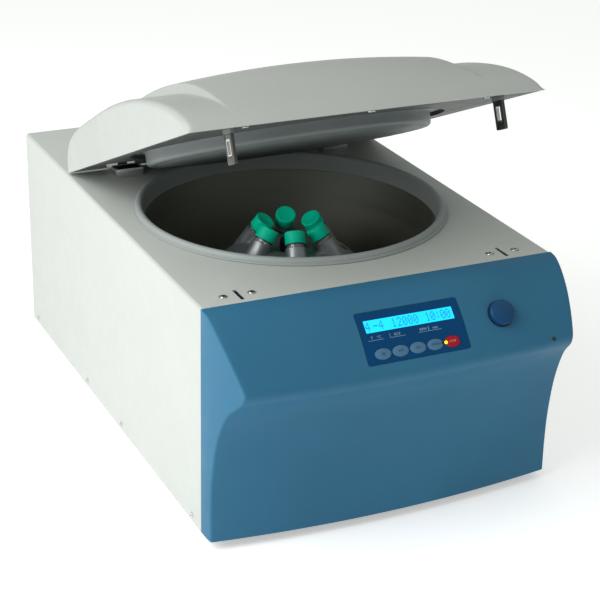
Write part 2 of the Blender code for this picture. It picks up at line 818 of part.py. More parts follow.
def lid_rows():
    """The lid's outline as rows, with more of them where the raised middle begins."""
    fine = np.array(spline(LID_OUTLINE, 12))
    start, end = LID_RISE_REAR
    extra = np.linspace(start, end, 5)
    rows = [tuple(row) for row in spline(LID_OUTLINE, 2) if not start <= row[0] <= end]
    rows += [(forward, np.interp(forward, fine[:, 0], fine[:, 1])) for forward in extra]
    return sorted(rows)


def lid_block(name, inset, base):
    """The lid as a closed block in its own frame: +X right, -Y forward, +Z up, rear rim at 0."""
    fillet = 0.007
    half = LID_HALF_WIDTH - inset
    edge = [half - fillet + fillet * math.sin(math.radians(a)) for a in (90, 60, 30, 0)]
    inner = [LID_STEP_X + 0.0026, LID_STEP_X, LID_STEP_X - 0.0026, 0.105, 0.052]
    right = edge + inner
    across = [-x for x in right] + [0.0] + right[::-1]
    rows = lid_rows()
    work = bmesh.new()
    tops, bases = [], []
    for forward, cheek in rows:
        top, low = [], []
        for x in across:
            stretch = 1 + LID_FRONT_BOW / LID_LENGTH * (1 - (x / LID_HALF_WIDTH) ** 2)
            place_y = inset * 1.4 + forward * (LID_LENGTH - 2.8 * inset) / LID_LENGTH * stretch
            height = max(lid_height(x, forward, cheek), 0.0)
            over = max(abs(x) - (half - fillet), 0.0)
            radius = min(fillet, max(height, 0.0))
            drop = radius - radius * math.sqrt(max(1 - (over / fillet) ** 2, 0.0))
            top.append(work.verts.new((x, -place_y, height - drop - inset)))
            low.append(work.verts.new((x, -place_y, base)))
        tops.append(top)
        bases.append(low)
    count = len(across)
    for r in range(len(rows) - 1):
        for n in range(count - 1):
            work.faces.new((tops[r][n], tops[r][n + 1], tops[r + 1][n + 1], tops[r + 1][n]))
        for n in (0, count - 1):
            work.faces.new((tops[r][n], tops[r + 1][n], bases[r + 1][n], bases[r][n]))
    for r in (0, len(rows) - 1):
        for n in range(count - 1):
            work.faces.new((tops[r][n], bases[r][n], bases[r][n + 1], tops[r][n + 1]))
    left_side = [row[0] for row in bases]
    right_side = [row[-1] for row in bases[::-1]]
    work.faces.new(left_side + bases[-1][1:] + right_side[1:] + bases[0][::-1][1:-1])
    bmesh.ops.remove_doubles(work, verts=work.verts, dist=1e-6)
    bmesh.ops.dissolve_degenerate(work, edges=work.edges, dist=1e-7)
    return finished_mesh(name, work)


def on_lid(name, mesh, material):
    """Place a mesh made in the lid's own frame, with its origin on the hinge axis."""
    mesh.transform(Matrix.Translation((0, PIVOT_FORWARD, -PIVOT_UP)))
    mesh.update()
    return place(name, mesh, material, parent=LID_PIVOT)


def cut_on_lid(target, name, mesh):
    mesh.transform(Matrix.Translation((0, PIVOT_FORWARD, -PIVOT_UP)))
    tool = cutter(name, mesh)
    tool.parent = LID_PIVOT
    boolean(target, tool)


def make_lid():
    cover = on_lid("lid_cover", lid_block("lid_cover", 0.0, 0.0), LID_WHITE)
    cut_on_lid(cover, "lid_hollow", lid_block("lid_hollow", LID_WALL, -0.012))
    reach = HINGE_WIDTH / 2 + 0.0015
    for side, x in SIDES:
        middle = x * HINGE_X
        low, high = (middle - reach, -0.022, -0.01), (middle + reach, 0.01, 0.0190)
        cut_on_lid(cover, f"notch_{side}", box_mesh(f"notch_{side}", low, high))
    smooth(cover)

    half = LID_HALF_WIDTH - LID_WALL - 0.0010
    front, shoulder, rear = -0.4400, -0.4240, -0.0240
    outline = [
        (-half, rear),
        (-half, shoulder + 0.012),
        (-half + 0.010, shoulder),
        (-0.120, front),
        (0.120, front),
        (half - 0.010, shoulder),
        (half, shoulder + 0.012),
        (half, rear),
    ]
    mesh = prism_mesh("lid_liner", outline, LINER_LEVEL, LINER_LEVEL + LINER_THICKNESS)
    liner = on_lid("lid_liner", mesh, LINER_GREY)
    for side, x in SIDES:
        middle = x * HINGE_X
        low, high = (middle - reach, -0.0455, -0.01), (middle + reach, 0.0, 0.02)
        cut_on_lid(liner, f"liner_notch_{side}", box_mesh(f"liner_notch_{side}", low, high))

    disc = [
        (0.0, LINER_LEVEL - GAP),
        (0.0, DISC_LEVEL),
        (DISC_RADIUS - 0.0100, DISC_LEVEL),
        (DISC_RADIUS - 0.0055, DISC_LEVEL + 0.0012),
        (DISC_RADIUS - 0.0028, DISC_LEVEL + 0.0045),
        (DISC_RADIUS - 0.0020, LINER_LEVEL - 0.0050),
        (DISC_RADIUS, LINER_LEVEL - GAP),
    ]
    mesh = turned_mesh("lid_disc", disc)
    mesh.transform(Matrix.Translation((0, ROTOR_Y - PIVOT_Y - PIVOT_FORWARD, 0)))
    on_lid("lid_disc", mesh, DISC_GREY)
    make_strikers()
    make_hinge_arms()


def make_strikers():
    """Plates that drop through the slots; the lock bolt passes through each window."""
    top, low = LINER_LEVEL - GAP, -STRIKER_HANG
    for side, x in SIDES:
        name = f"striker_{side}"
        plate = box_mesh(
            name,
            (x * LATCH_X - STRIKER_THICKNESS / 2, -STRIKER_FORWARD - STRIKER_WIDTH / 2, low),
            (x * LATCH_X + STRIKER_THICKNESS / 2, -STRIKER_FORWARD + STRIKER_WIDTH / 2, top),
        )
        striker = on_lid(name, plate, STAINLESS)
        window = box_mesh(
            f"window_{side}",
            (x * LATCH_X - 0.01, -STRIKER_FORWARD - 0.0055, STRIKER_WINDOW[0]),
            (x * LATCH_X + 0.01, -STRIKER_FORWARD + 0.0055, STRIKER_WINDOW[1]),
        )
        cut_on_lid(striker, f"window_{side}", window)


def make_hinge_arms():
    """Each arm is a fork around the block's knuckle, under the lid's skin and on its liner."""
    lug = KNUCKLE_RADIUS
    foot_low = LINER_LEVEL + LINER_THICKNESS + GAP
    deck_low, deck_high = 0.0095, 0.0135
    # the outline runs forward along the deck and closes around the pin
    around = arc((-PIVOT_FORWARD, PIVOT_UP), lug, -60, 120, 8)
    outline = [
        (-0.062, foot_low),
        (-0.047, foot_low),
        (-0.047, deck_low),
        (-0.0150, deck_low),
        *around,
        (-0.0200, deck_high),
        (-0.062, deck_high),
    ]
    for side, x in SIDES:
        name = f"hinge_arm_{side}"
        half = HINGE_WIDTH / 2 - 0.0025
        mesh = prism_mesh(name, outline, x * HINGE_X - half, x * HINGE_X + half, axis="X")
        arm = on_lid(name, mesh, STEEL)
        fork = KNUCKLE_WIDTH / 2 + 0.0005
        low, high = (x * HINGE_X - fork, -0.0165, -0.01), (x * HINGE_X + fork, 0.01, 0.03)
        cut_on_lid(arm, f"fork_{side}", box_mesh(f"fork_{side}", low, high))
        bore = cylinder_mesh(f"arm_bore_{side}", PIN_RADIUS + GAP, -0.03, 0.03, 16)
        bore.transform(Matrix.Rotation(math.pi / 2, 4, "Y"))
        bore.transform(Matrix.Translation((x * HINGE_X, -PIVOT_FORWARD, PIVOT_UP)))
        cut_on_lid(arm, f"arm_bore_{side}", bore)


def make_hinge_blocks():
    base = TOP_Z + GAP
    rise = PIVOT_Z - base
    back = PIVOT_Y + 0.0120
    along_x = Matrix.Rotation(math.pi / 2, 4, "Y")
    outline = [
        (HINGE_FRONT_Y, 0.0),
        (back, 0.0),
        (back, 0.0050),
        (HINGE_FRONT_Y + 0.0230, 0.0060),
        (HINGE_FRONT_Y + 0.0190, 0.0107),
        (HINGE_FRONT_Y, 0.0107),
    ]
    reach = KNUCKLE_RADIUS
    bottom = [(PIVOT_Y - reach, 0.001), (PIVOT_Y + reach, 0.001)]
    knuckle = [*bottom, *arc((PIVOT_Y, rise), reach, 0, 180, 8)]
    for side, x in SIDES:
        name = f"hinge_block_{side}"
        half = HINGE_WIDTH / 2
        mesh = prism_mesh(name, outline, x * HINGE_X - half, x * HINGE_X + half, axis="X")
        block = place(name, mesh, ALUMINIUM, matrix=Matrix.Translation((0, 0, base)))
        half = KNUCKLE_WIDTH / 2
        lug = prism_mesh(f"knuckle_{side}", knuckle, x * HINGE_X - half, x * HINGE_X + half, axis="X")
        boolean(block, cutter(f"knuckle_{side}", lug, Matrix.Translation((0, 0, base))), "UNION")
        bore = cylinder_mesh(f"block_bore_{side}", PIN_RADIUS + GAP, -0.03, 0.03, 16)
        across = Matrix.Translation((x * HINGE_X, PIVOT_Y, PIVOT_Z)) @ along_x
        boolean(block, cutter(f"block_bore_{side}", bore, across))
    rod = cylinder_mesh("hinge_rod", PIN_RADIUS, -HINGE_ROD_REACH, HINGE_ROD_REACH, 16)
    place("hinge_rod", rod, STAINLESS, matrix=Matrix.Translation((0, PIVOT_Y, PIVOT_Z)) @ along_x)


# ---------------------------------------------------------------- latch
def make_locks():
    """Under each slot a lock body takes the striker, and a bolt slides through its window."""
    top = TOP_Z - SHEET - GAP
    bolt_z = PIVOT_Z - PIVOT_UP - 0.0165
    for side, x in SIDES:
        inside, outside = LATCH_X - 0.020, LATCH_X + 0.012
        low_x, high_x = sorted((x * inside, x * outside))
        name = f"lock_body_{side}"
        body = box_mesh(name, (low_x, SLOT_Y - 0.018, top - 0.052), (high_x, SLOT_Y + 0.018, top))
        lock = place(name, body, STEEL)
        well = box_mesh(
            f"well_{side}",
            (x * LATCH_X - 0.0029, SLOT_Y - 0.0145, top - 0.047),
            (x * LATCH_X + 0.0029, SLOT_Y + 0.0145, top + 0.01),
        )
        boolean(lock, cutter(f"well_{side}", well))
        hole_x = sorted((x * (inside - 0.01), x * (LATCH_X + 0.0075)))
        hole = box_mesh(
            f"bolt_hole_{side}",
            (hole_x[0], SLOT_Y - 0.0043, bolt_z - 0.0053),
            (hole_x[1], SLOT_Y + 0.0043, bolt_z + 0.0053),
        )
        boolean(lock, cutter(f"bolt_hole_{side}", hole))
        tip = LATCH_X - 0.0040
        bolt_x = sorted((x * (tip - 0.034), x * tip))
        bolt = box_mesh(
            f"lock_bolt_{side}",
            (bolt_x[0], SLOT_Y - 0.0040, bolt_z - 0.0050),
            (bolt_x[1], SLOT_Y + 0.0040, bolt_z + 0.0050),
        )
        place(f"lock_bolt_{side}", bolt, STAINLESS)


# ---------------------------------------------------------------- cooling and power
def make_cooling():
    height = 0.150
    level = FLOOR_Z + BASE_THICKNESS + GAP
    shell = [
        (0.0, 0.0),
        (0.050, 0.0),
        (0.060, 0.006),
        (0.062, 0.040),
        (0.062, height - 0.040),
        (0.052, height - 0.014),
        (0.030, height),
        (0.0, height),
    ]
    spot = Matrix.Translation((*COMPRESSOR_SPOT, level))
    place("compressor", turned_mesh("compressor", shell, 20), KNOB_BLACK, matrix=spot)

    low = (VENT_X - 0.075, BACK_Y - 0.038, level)
    high = (VENT_X + 0.075, BACK_Y - 0.006, FLOOR_Z + 0.172)
    condenser = place("condenser", box_mesh("condenser", low, high), CONDENSER_GREY)

    fan_place = facing_back(VENT_X, FAN_Z, FAN_Y)
    motor = cylinder_mesh("fan_motor", 0.014, 0.009 + GAP, 0.025, 16)
    boolean(condenser, cutter("fan_motor", motor, fan_place), "UNION")
    hub = cylinder_mesh("condenser_fan", 0.018, -0.009, 0.009, 20)
    fan = place("condenser_fan", hub, KNOB_BLACK, matrix=fan_place)
    pitch = Matrix.Rotation(math.radians(24), 4, "X")
    for n in range(FAN_BLADES):
        blade = box_mesh(f"blade_{n}", (0.012, -0.016, -0.0012), (0.064, 0.016, 0.0012))
        turn = Matrix.Rotation(n * math.tau / FAN_BLADES, 4, "Z") @ pitch
        boolean(fan, cutter(f"blade_{n}", blade, fan_place @ turn), "UNION")


def make_power():
    """A three-pole inlet and a rocker switch in the rear panel."""
    spot = facing_back(INLET_X, INLET_Z, BACK_Y)
    body = prism_mesh("power_inlet", rounded_rectangle(*INLET_BODY, 0.002), -0.018, 0.0)
    inlet = place("power_inlet", body, KNOB_BLACK, matrix=spot)
    rim = prism_mesh("inlet_rim", rounded_rectangle(0.034, 0.027, 0.003), GAP, 0.0020)
    boolean(inlet, cutter("inlet_rim", rim, spot), "UNION")
    stem = prism_mesh("inlet_stem", rounded_rectangle(*INLET_BODY, 0.002), -0.001, 0.0010)
    boolean(inlet, cutter("inlet_stem", stem, spot), "UNION")
    recess = prism_mesh("inlet_recess", rounded_rectangle(0.0240, 0.0160, 0.003), -0.0150, 0.01)
    boolean(inlet, cutter("inlet_recess", recess, spot))
    for n, (px, py) in enumerate(((-0.007, -0.002), (0.0, 0.002), (0.007, -0.002))):
        low, high = (px - 0.0008, py - 0.002, -0.017), (px + 0.0008, py + 0.002, -0.003)
        boolean(inlet, cutter(f"inlet_pin_{n}", box_mesh(f"inlet_pin_{n}", low, high), spot), "UNION")

    rocker = [
        (-0.0130, 0.0016),
        (0.0, 0.0006),
        (0.0130, 0.0034),
        (0.0130, -0.0040),
        (0.0060, -0.0090),
        (-0.0060, -0.0090),
        (-0.0130, -0.0040),
    ]
    mesh = prism_mesh("power_switch", rocker, -0.0092, 0.0092)
    turn = Matrix(((0, 0, 1, 0), (1, 0, 0, 0), (0, 1, 0, 0), (0, 0, 0, 1)))
    mesh.transform(turn)
    place("power_switch", mesh, KNOB_BLACK, matrix=facing_back(SWITCH_X, INLET_Z, BACK_Y))


def make_probe():
    """The temperature probe that stands off the bowl's floor."""
    outline = [
        (0.0, GAP),
        (0.0045, GAP),
        (0.0045, 0.0030),
        (0.0022, 0.0045),
        (0.0022, 0.0160),
        (0.0, 0.0175),
    ]
    x, y = PROBE_SPOT
    spot = Matrix.Translation((x, ROTOR_Y + y, TOP_Z - BOWL_DEPTH))
    place("temperature_probe", turned_mesh("temperature_probe", outline, 12), STAINLESS, matrix=spot)


clear_scene()
PARTS = new_collection("centrifuge")
CUTTERS = new_collection("cutters")
PAINT = principled("grey-white paint", (0.72, 0.75, 0.73), 0.45)
LID_WHITE = principled("lid white", (0.70, 0.74, 0.73), 0.35)
PANEL_BLUE = principled("panel blue", (0.05, 0.18, 0.29), 0.4)
KEYPAD_BLUE = principled("keypad blue", (0.0, 0.045, 0.15), 0.3)
KEY_BLUE = principled("key blue", (0.07, 0.17, 0.28), 0.4)
STOP_RED = principled("stop red", (0.40, 0.01, 0.02), 0.4)
LIT_GLASS = principled("display", (0.0, 0.60, 1.0), 0.2)
KNOB_BLUE = principled("knob blue", (0.0, 0.04, 0.14), 0.3)
KNOB_BLACK = principled("black plastic", (0.02, 0.02, 0.02), 0.45)
RUBBER = principled("rubber", (0.02, 0.02, 0.02), 0.8)
STEEL = principled("zinc-plated steel", (0.45, 0.46, 0.47), 0.35, 1.0)
STAINLESS = principled("stainless steel", (0.30, 0.30, 0.28), 0.25, 1.0)
ALUMINIUM = principled("aluminium", (0.70, 0.71, 0.71), 0.3, 1.0)
SEAL_GREY = principled("seal grey", (0.35, 0.39, 0.40), 0.55)
LINER_GREY = principled("liner blue-grey", (0.16, 0.21, 0.23), 0.5)
DISC_GREY = principled("disc dark grey", (0.04, 0.05, 0.06), 0.5)
FOAM = principled("foam", (0.60, 0.58, 0.48), 0.9)
MOTOR_GREY = principled("motor enamel", (0.10, 0.11, 0.12), 0.5)
ROTOR_GREY = principled("anodised rotor", (0.16, 0.18, 0.19), 0.4, 0.6)
CLEAR = principled("clear tube", (0.60, 0.65, 0.62), 0.1)
CAP_GREEN = principled("cap green", (0.0, 0.38, 0.18), 0.4)
BOARD_GREEN = principled("board green", (0.01, 0.12, 0.05), 0.5)
CONDENSER_GREY = principled("condenser fins", (0.35, 0.36, 0.36), 0.4, 1.0)

LID_PIVOT = pivot_empty(
    "lid_pivot",
    Matrix.Translation((0, PIVOT_Y, PIVOT_Z)) @ Matrix.Rotation(-LID_OPEN, 4, "X"),
)

make_base_plate()
make_housing()
make_rear_panel()
make_front_panel()
make_keypad()
make_buttons()
make_knob()
make_control_board()
make_feet()
make_bowl()
make_bowl_seal()
make_insulation()
make_motor()
make_spindle()
make_rotor()
make_tubes()
make_lid()
make_hinge_blocks()
make_locks()
make_cooling()
make_power()
make_probe()
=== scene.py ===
import json
import math

import bmesh
import bpy
import numpy as np
from mathutils import Matrix, Vector

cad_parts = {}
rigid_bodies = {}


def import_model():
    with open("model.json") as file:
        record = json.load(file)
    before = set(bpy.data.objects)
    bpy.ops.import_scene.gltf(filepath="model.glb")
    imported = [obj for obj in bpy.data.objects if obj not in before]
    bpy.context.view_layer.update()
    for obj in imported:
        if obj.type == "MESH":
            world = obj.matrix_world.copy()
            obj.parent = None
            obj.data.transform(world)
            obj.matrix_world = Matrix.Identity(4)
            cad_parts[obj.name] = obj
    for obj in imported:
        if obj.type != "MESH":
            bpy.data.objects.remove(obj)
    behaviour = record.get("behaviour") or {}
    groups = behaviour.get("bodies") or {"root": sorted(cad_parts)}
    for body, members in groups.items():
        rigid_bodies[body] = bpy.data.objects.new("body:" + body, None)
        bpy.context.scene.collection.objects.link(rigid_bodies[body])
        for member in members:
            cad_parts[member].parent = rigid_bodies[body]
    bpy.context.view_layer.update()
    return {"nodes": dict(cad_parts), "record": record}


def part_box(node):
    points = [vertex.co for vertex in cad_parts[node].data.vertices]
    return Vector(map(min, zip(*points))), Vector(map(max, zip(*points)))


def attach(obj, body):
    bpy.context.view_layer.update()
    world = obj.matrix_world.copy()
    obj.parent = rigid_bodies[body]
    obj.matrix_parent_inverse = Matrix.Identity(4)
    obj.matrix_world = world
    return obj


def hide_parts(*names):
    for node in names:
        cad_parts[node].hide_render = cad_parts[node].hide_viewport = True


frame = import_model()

# Looks for a benchtop refrigerated centrifuge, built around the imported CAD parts.
# Metres, +Z up. The control panel faces -Y and the lid is hinged at the back.

CASE_LOW, CASE_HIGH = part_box("housing")
WIDTH = CASE_HIGH.x - CASE_LOW.x
FRONT_Y = CASE_LOW.y
BACK_Y = CASE_HIGH.y
FLOOR_Z = CASE_LOW.z
TOP_Z = CASE_HIGH.z
JOINTS = {joint["name"]: joint for joint in frame["record"]["behaviour"]["joints"]}
ROTOR_Y = JOINTS["rotor_spin"]["pos_m"][1]
PIVOT = Vector(JOINTS["lid_hinge"]["pos_m"])
SIDES = (("left", -1), ("right", 1))
GAP = 0.0003
ROUND = 128

# ---------------------------------------------------------------- sizes shared with the CAD parts
PANEL_WALL = 0.0025
PANEL_BOW = 0.016
RIDGE_FORWARD = 0.0822
RIDGE_HEIGHT = 0.2020
RIDGE_BOW = (0.0043, -0.0052)
SIDE_SWEEP = 0.015
FACE_SLOPE_START = 0.017
KEYPAD_X = 0.0070
KEYPAD_DROP = 0.0553
KEYPAD_SIZE = (0.1240, 0.0592)
WINDOW_DROP = 0.0424
WINDOW_SIZE = (0.1077, 0.0144)
BUTTON_DROP = 0.0745
BUTTON_PITCH = 0.0211
BUTTON_SIZE = (0.0194, 0.0127)
KNOB_X = 0.1164
KNOB_DROP = 0.0536
KNOB_RADIUS = 0.0145
MOUTH_RADIUS = 0.184
BOWL_RADIUS = 0.1765
BOWL_DEPTH = 0.135
BOWL_FLOOR_RADIUS = 0.150
TUBE_COUNT = 6
TUBE_TILT = math.radians(35)
FIRST_TUBE_ANGLE = math.radians(15)
CAP_CIRCLE = 0.036
CAP_DROP = 0.028
CAP_RADIUS = 0.01225
CAP_HEIGHT = 0.015
SLEEVE_RADIUS = 0.0128
TUBE_RADIUS = 0.0105
LID_OPEN = math.radians(23.4)
LID_HALF_WIDTH = 0.2130
LID_LENGTH = 0.457
LID_FRONT_BOW = 0.0055
LID_WALL = 0.0025
LID_STEP_X = 0.1555
LID_RISE = 0.0115
LID_CROWN = 0.0090
LID_RISE_REAR = (0.041, 0.050)
LID_RISE_FRONT = (0.295, 0.435)
PIVOT_FORWARD = 0.0095
PIVOT_UP = 0.012
LINER_LEVEL = 0.005
LINER_THICKNESS = 0.002
BORDER_LEVEL = 0.0004
BORDER_HOLE_RADIUS = 0.1892
DISC_LEVEL = -0.0140
DISC_RADIUS = 0.1735
LATCH_X = 0.1630
SLOT_Y = FRONT_Y + 0.0203
SLOT_LENGTH = 0.0270
SLOT_WIDTH = 0.0052
STRIKER_WIDTH = 0.0195
STRIKER_THICKNESS = 0.0034
STRIKER_HANG = 0.037
WINDOW_MIDDLE = -0.019
HINGE_X = 0.1437
HINGE_WIDTH = 0.0352
HINGE_FRONT_Y = FRONT_Y + 0.4148
KNUCKLE_WIDTH = 0.0130
KNUCKLE_RADIUS = 0.0052
BUTTON_COUNT = 5
LATCH_SCREW_OFFSETS = (-0.0157, 0.0173)
LATCH_SCREW_Y = FRONT_Y + 0.0211
RELEASE_HOLE = (0.1735, 0.0925)
LEGEND_DROP = 0.0584
POCKET_CIRCLE = 0.067

PANEL_OUTLINE = [
    (0.0000, 0.2700),
    (0.0150, 0.2678),
    (0.0470, 0.2448),
    (0.0757, 0.2130),
    (0.0822, 0.2020),
    (0.0800, 0.1935),
    (0.0560, 0.1685),
    (0.0375, 0.1300),
    (0.0270, 0.0800),
    (0.0245, 0.0400),
    (0.0250, 0.0000),
]

LID_OUTLINE = [
    (0.000, 0.000),
    (0.004, 0.017),
    (0.016, 0.0345),
    (0.041, 0.0460),
    (0.119, 0.0553),
    (0.215, 0.0600),
    (0.304, 0.0540),
    (0.392, 0.0350),
    (0.443, 0.0125),
    (0.457, 0.0000),
]


# ---------------------------------------------------------------- materials
def node(tree, kind, **inputs):
    """A new shader node: each named socket is given a value, or is linked to another node's output."""
    new = tree.nodes.new("ShaderNode" + kind)
    for label, value in inputs.items():
        socket = new.inputs[label.replace("_", " ")]
        if isinstance(value, bpy.types.NodeSocket):
            tree.links.new(value, socket)
        else:
            socket.default_value = value
    return new


def look(name, colour, roughness, metallic=0.0, mottle=0.04, mottle_scale=9.0, spread=0.05,
         grain=0.00003, grain_scale=900.0, stretch=(1, 1, 1), turned=None, **sockets):
    """A procedural material: slow colour variation, uneven roughness and a fine surface grain."""
    made = bpy.data.materials.new(name)
    made.use_nodes = True
    tree = made.node_tree
    shader = tree.nodes["Principled BSDF"]
    for label, value in sockets.items():
        shader.inputs[label.replace("_", " ")].default_value = value
    shader.inputs["Metallic"].default_value = metallic
    coords = node(tree, "TexCoord").outputs["Object"]
    if turned is not None:
        coords = turned_coords(tree, coords, turned)
    coords = node(tree, "Mapping", Scale=stretch, Vector=coords).outputs["Vector"]

    slow = node(tree, "TexNoise", Scale=mottle_scale, Detail=4.0, Vector=coords)
    ramp = node(tree, "ValToRGB", Fac=slow.outputs["Fac"])
    for element, place, factor in zip(ramp.color_ramp.elements, (0.30, 0.70), (1 - mottle, 1 + mottle)):
        element.position = place
        element.color = (*[min(c * factor, 1.0) for c in colour], 1)
    tree.links.new(ramp.outputs["Color"], shader.inputs["Base Color"])

    blotches = node(tree, "TexNoise", Scale=mottle_scale * 7, Detail=5.0, Vector=coords)
    low, high = max(roughness - spread, 0.02), min(roughness + spread, 1.0)
    uneven = node(tree, "MapRange", From_Min=0.3, From_Max=0.7, To_Min=low, To_Max=high,
                  Value=blotches.outputs["Fac"])
    tree.links.new(uneven.outputs["Result"], shader.inputs["Roughness"])

    fine = node(tree, "TexNoise", Scale=grain_scale, Detail=3.0, Vector=coords)
    bump = node(tree, "Bump", Distance=grain, Strength=1.0, Height=fine.outputs["Fac"])
    tree.links.new(bump.outputs["Normal"], shader.inputs["Normal"])
    return made


def turned_coords(tree, coords, centre):
    """Coordinates (radius, a little of X, height) about a vertical axis, for lathe and brush marks."""
    def vector(operation, source, value=(0, 0, 0)):
        made = tree.nodes.new("ShaderNodeVectorMath")
        made.operation = operation
        made.inputs[1].default_value = value
        tree.links.new(source, made.inputs[0])
        return made.outputs

    moved = vector("SUBTRACT", coords, centre)["Vector"]
    flat = vector("MULTIPLY", moved, (1, 1, 0))["Vector"]
    radius = vector("LENGTH", flat)["Value"]
    parts = node(tree, "SeparateXYZ", Vector=vector("MULTIPLY", moved, (0.02, 1, 1))["Vector"]).outputs
    return node(tree, "CombineXYZ", X=radius, Y=parts["X"], Z=parts["Z"]).outputs["Vector"]


CHAMBER = (0.0, ROTOR_Y, TOP_Z)
PAINT = look("powder coat", (0.475, 0.497, 0.470), 0.48, grain=0.00005, grain_scale=1400, mottle=0.015)
LID_PLASTIC = look("lid plastic", (0.390, 0.409, 0.388), 0.40, grain=0.00002, grain_scale=1600, mottle=0.02)
PANEL_PLASTIC = look(
    "panel plastic", (0.032, 0.141, 0.243), 0.46, grain=0.00003, grain_scale=1500, mottle=0.06,
    mottle_scale=6, Specular_IOR_Level=0.12,
)
KEYPAD_FILM = look(
    "keypad film", (0.0, 0.049, 0.152), 0.40, grain=0.00001, grain_scale=2600, Specular_IOR_Level=0.12
)
KEY_FILM = look(
    "key film", (0.070, 0.165, 0.270), 0.46, grain=0.00002, grain_scale=2600, Specular_IOR_Level=0.15
)
STOP_FILM = look(
    "stop key film", (0.36, 0.010, 0.018), 0.44, grain=0.00002, grain_scale=2600,
    Specular_IOR_Level=0.15,
)
LEGEND_INK = look("legend ink", (0.26, 0.40, 0.50), 0.60, grain=0.0, Specular_IOR_Level=0.10)
KEY_INK = look("key ink", (0.004, 0.035, 0.110), 0.60, grain=0.0, Specular_IOR_Level=0.10)
STOP_INK = look("stop ink", (0.75, 0.28, 0.28), 0.55, grain=0.0)
LAMP_DARK = look("dark lamp", (0.012, 0.014, 0.018), 0.25, grain=0.0)
LAMP_LIT = look(
    "lit lamp", (0.95, 0.80, 0.02), 0.25, grain=0.0,
    Emission_Color=(1.0, 0.85, 0.02, 1), Emission_Strength=0.7,
)
DISPLAY_GLASS = look(
    "display glass", (0.0, 0.30, 0.60), 0.18, grain=0.0, mottle=0.10, mottle_scale=30,
    Emission_Color=(0.0, 0.68, 1.0, 1), Emission_Strength=0.92,
)
DISPLAY_INK = look(
    "display ink", (0.0, 0.16, 0.40), 0.25, grain=0.0,
    Emission_Color=(0.0, 0.24, 0.62, 1), Emission_Strength=0.55,
)
KNOB_PLASTIC = look(
    "knob plastic", (0.003, 0.050, 0.140), 0.26, grain=0.00001, grain_scale=1800, Specular_IOR_Level=0.30
)
BLACK_PLASTIC = look("black plastic", (0.018, 0.018, 0.019), 0.45, grain=0.00004, grain_scale=1300)
RUBBER = look("rubber", (0.020, 0.020, 0.020), 0.85, grain=0.00008, grain_scale=900)
ZINC = look("zinc plate", (0.50, 0.51, 0.52), 0.34, 1.0, mottle=0.10, mottle_scale=60, spread=0.10)
STAINLESS = look(
    "brushed stainless", (0.52, 0.52, 0.50), 0.24, 1.0, mottle=0.08, mottle_scale=40, stretch=(1, 12, 12)
)
BOWL_STEEL = look(
    "spun bowl steel", (0.30, 0.305, 0.265), 0.50, 1.0, mottle=0.05, mottle_scale=14, spread=0.05,
    grain=0.000004, grain_scale=260, turned=CHAMBER,
)
STRIKER_STEEL = look(
    "striker steel", (0.10, 0.10, 0.09), 0.40, 1.0, mottle=0.06, grain=0.000005, grain_scale=500
)
# Near-black steel for the hinge arms, as dark as the region above the hinge blocks.
NEAR_BLACK_ARM_STEEL = look("near-black arm steel", (0.035, 0.035, 0.036), 0.40, 0.6, mottle=0.10, mottle_scale=60)
# Bright steel for the rims inside the striker windows: a painted highlight.
STRIKER_HIGHLIGHT_EDGE = look("striker edge painted highlight", (0.70, 0.72, 0.68), 0.22, 1.0, grain=0.0)
ALUMINIUM = look(
    "milled aluminium", (0.80, 0.81, 0.82), 0.30, 1.0, mottle=0.05, stretch=(1, 30, 1), mottle_scale=30
)
SEAL_RUBBER = look("seal rubber", (0.285, 0.315, 0.306), 0.50, grain=0.00004, grain_scale=1100, mottle=0.03)
LINER_PLASTIC = look(
    "liner plastic", (0.145, 0.170, 0.168), 0.44, grain=0.00004, grain_scale=1300, mottle=0.04
)
BORDER_PLASTIC = look("border plastic", (0.070, 0.079, 0.075), 0.48, grain=0.00004, grain_scale=1300)
DISC_FACE = look("disc face", (0.150, 0.170, 0.165), 0.50, grain=0.00004, grain_scale=1300, mottle=0.05)
ROTOR_ALLOY = look(
    "anodised alloy", (0.300, 0.325, 0.335), 0.42, 0.75, mottle=0.07, mottle_scale=30, spread=0.08,
    turned=CHAMBER,
)
CAP_PLASTIC = look(
    "cap plastic", (0.0, 0.74, 0.46), 0.42, grain=0.00003, grain_scale=1500, mottle=0.03,
    Specular_IOR_Level=0.15,
)
CLEAR_PLASTIC = look(
    "clear tube", (0.86, 0.89, 0.87), 0.08, grain=0.0, mottle=0.02, Transmission_Weight=0.85, IOR=1.49
)
LIQUID = look("sample liquid", (0.62, 0.58, 0.48), 0.25, grain=0.0, mottle=0.05, mottle_scale=60)
FOAM = look(
    "insulation foam", (0.60, 0.56, 0.44), 0.92, grain=0.0004, grain_scale=260, mottle=0.10, mottle_scale=40
)
ENAMEL = look("motor enamel", (0.05, 0.055, 0.06), 0.42, grain=0.00005, grain_scale=700)
BOARD = look("circuit board", (0.01, 0.12, 0.05), 0.40, mottle=0.25, mottle_scale=160)
FINS = look("cooling fins", (0.42, 0.43, 0.43), 0.36, 1.0, stretch=(60, 1, 1), mottle=0.45, mottle_scale=20)

CAD_LOOKS = {
    PAINT: ["rear_panel"],
    ZINC: ["base_plate", "motor_mount", "lock_body_left", "lock_body_right"],
    STAINLESS: ["spindle", "hinge_rod", "lock_bolt_left", "lock_bolt_right", "temperature_probe"],
    RUBBER: ["foot_front_left", "foot_front_right", "foot_rear_left", "foot_rear_right",
             "damper_1", "damper_2", "damper_3"],
    BLACK_PLASTIC: ["condenser_fan", "power_inlet", "power_switch"],
    FOAM: ["insulation"],
    ENAMEL: ["motor", "compressor"],
    BOARD: ["control_board"],
    FINS: ["condenser"],
}
for finish, names in CAD_LOOKS.items():
    for name in names:
        frame["nodes"][name].material_slots[0].material = finish


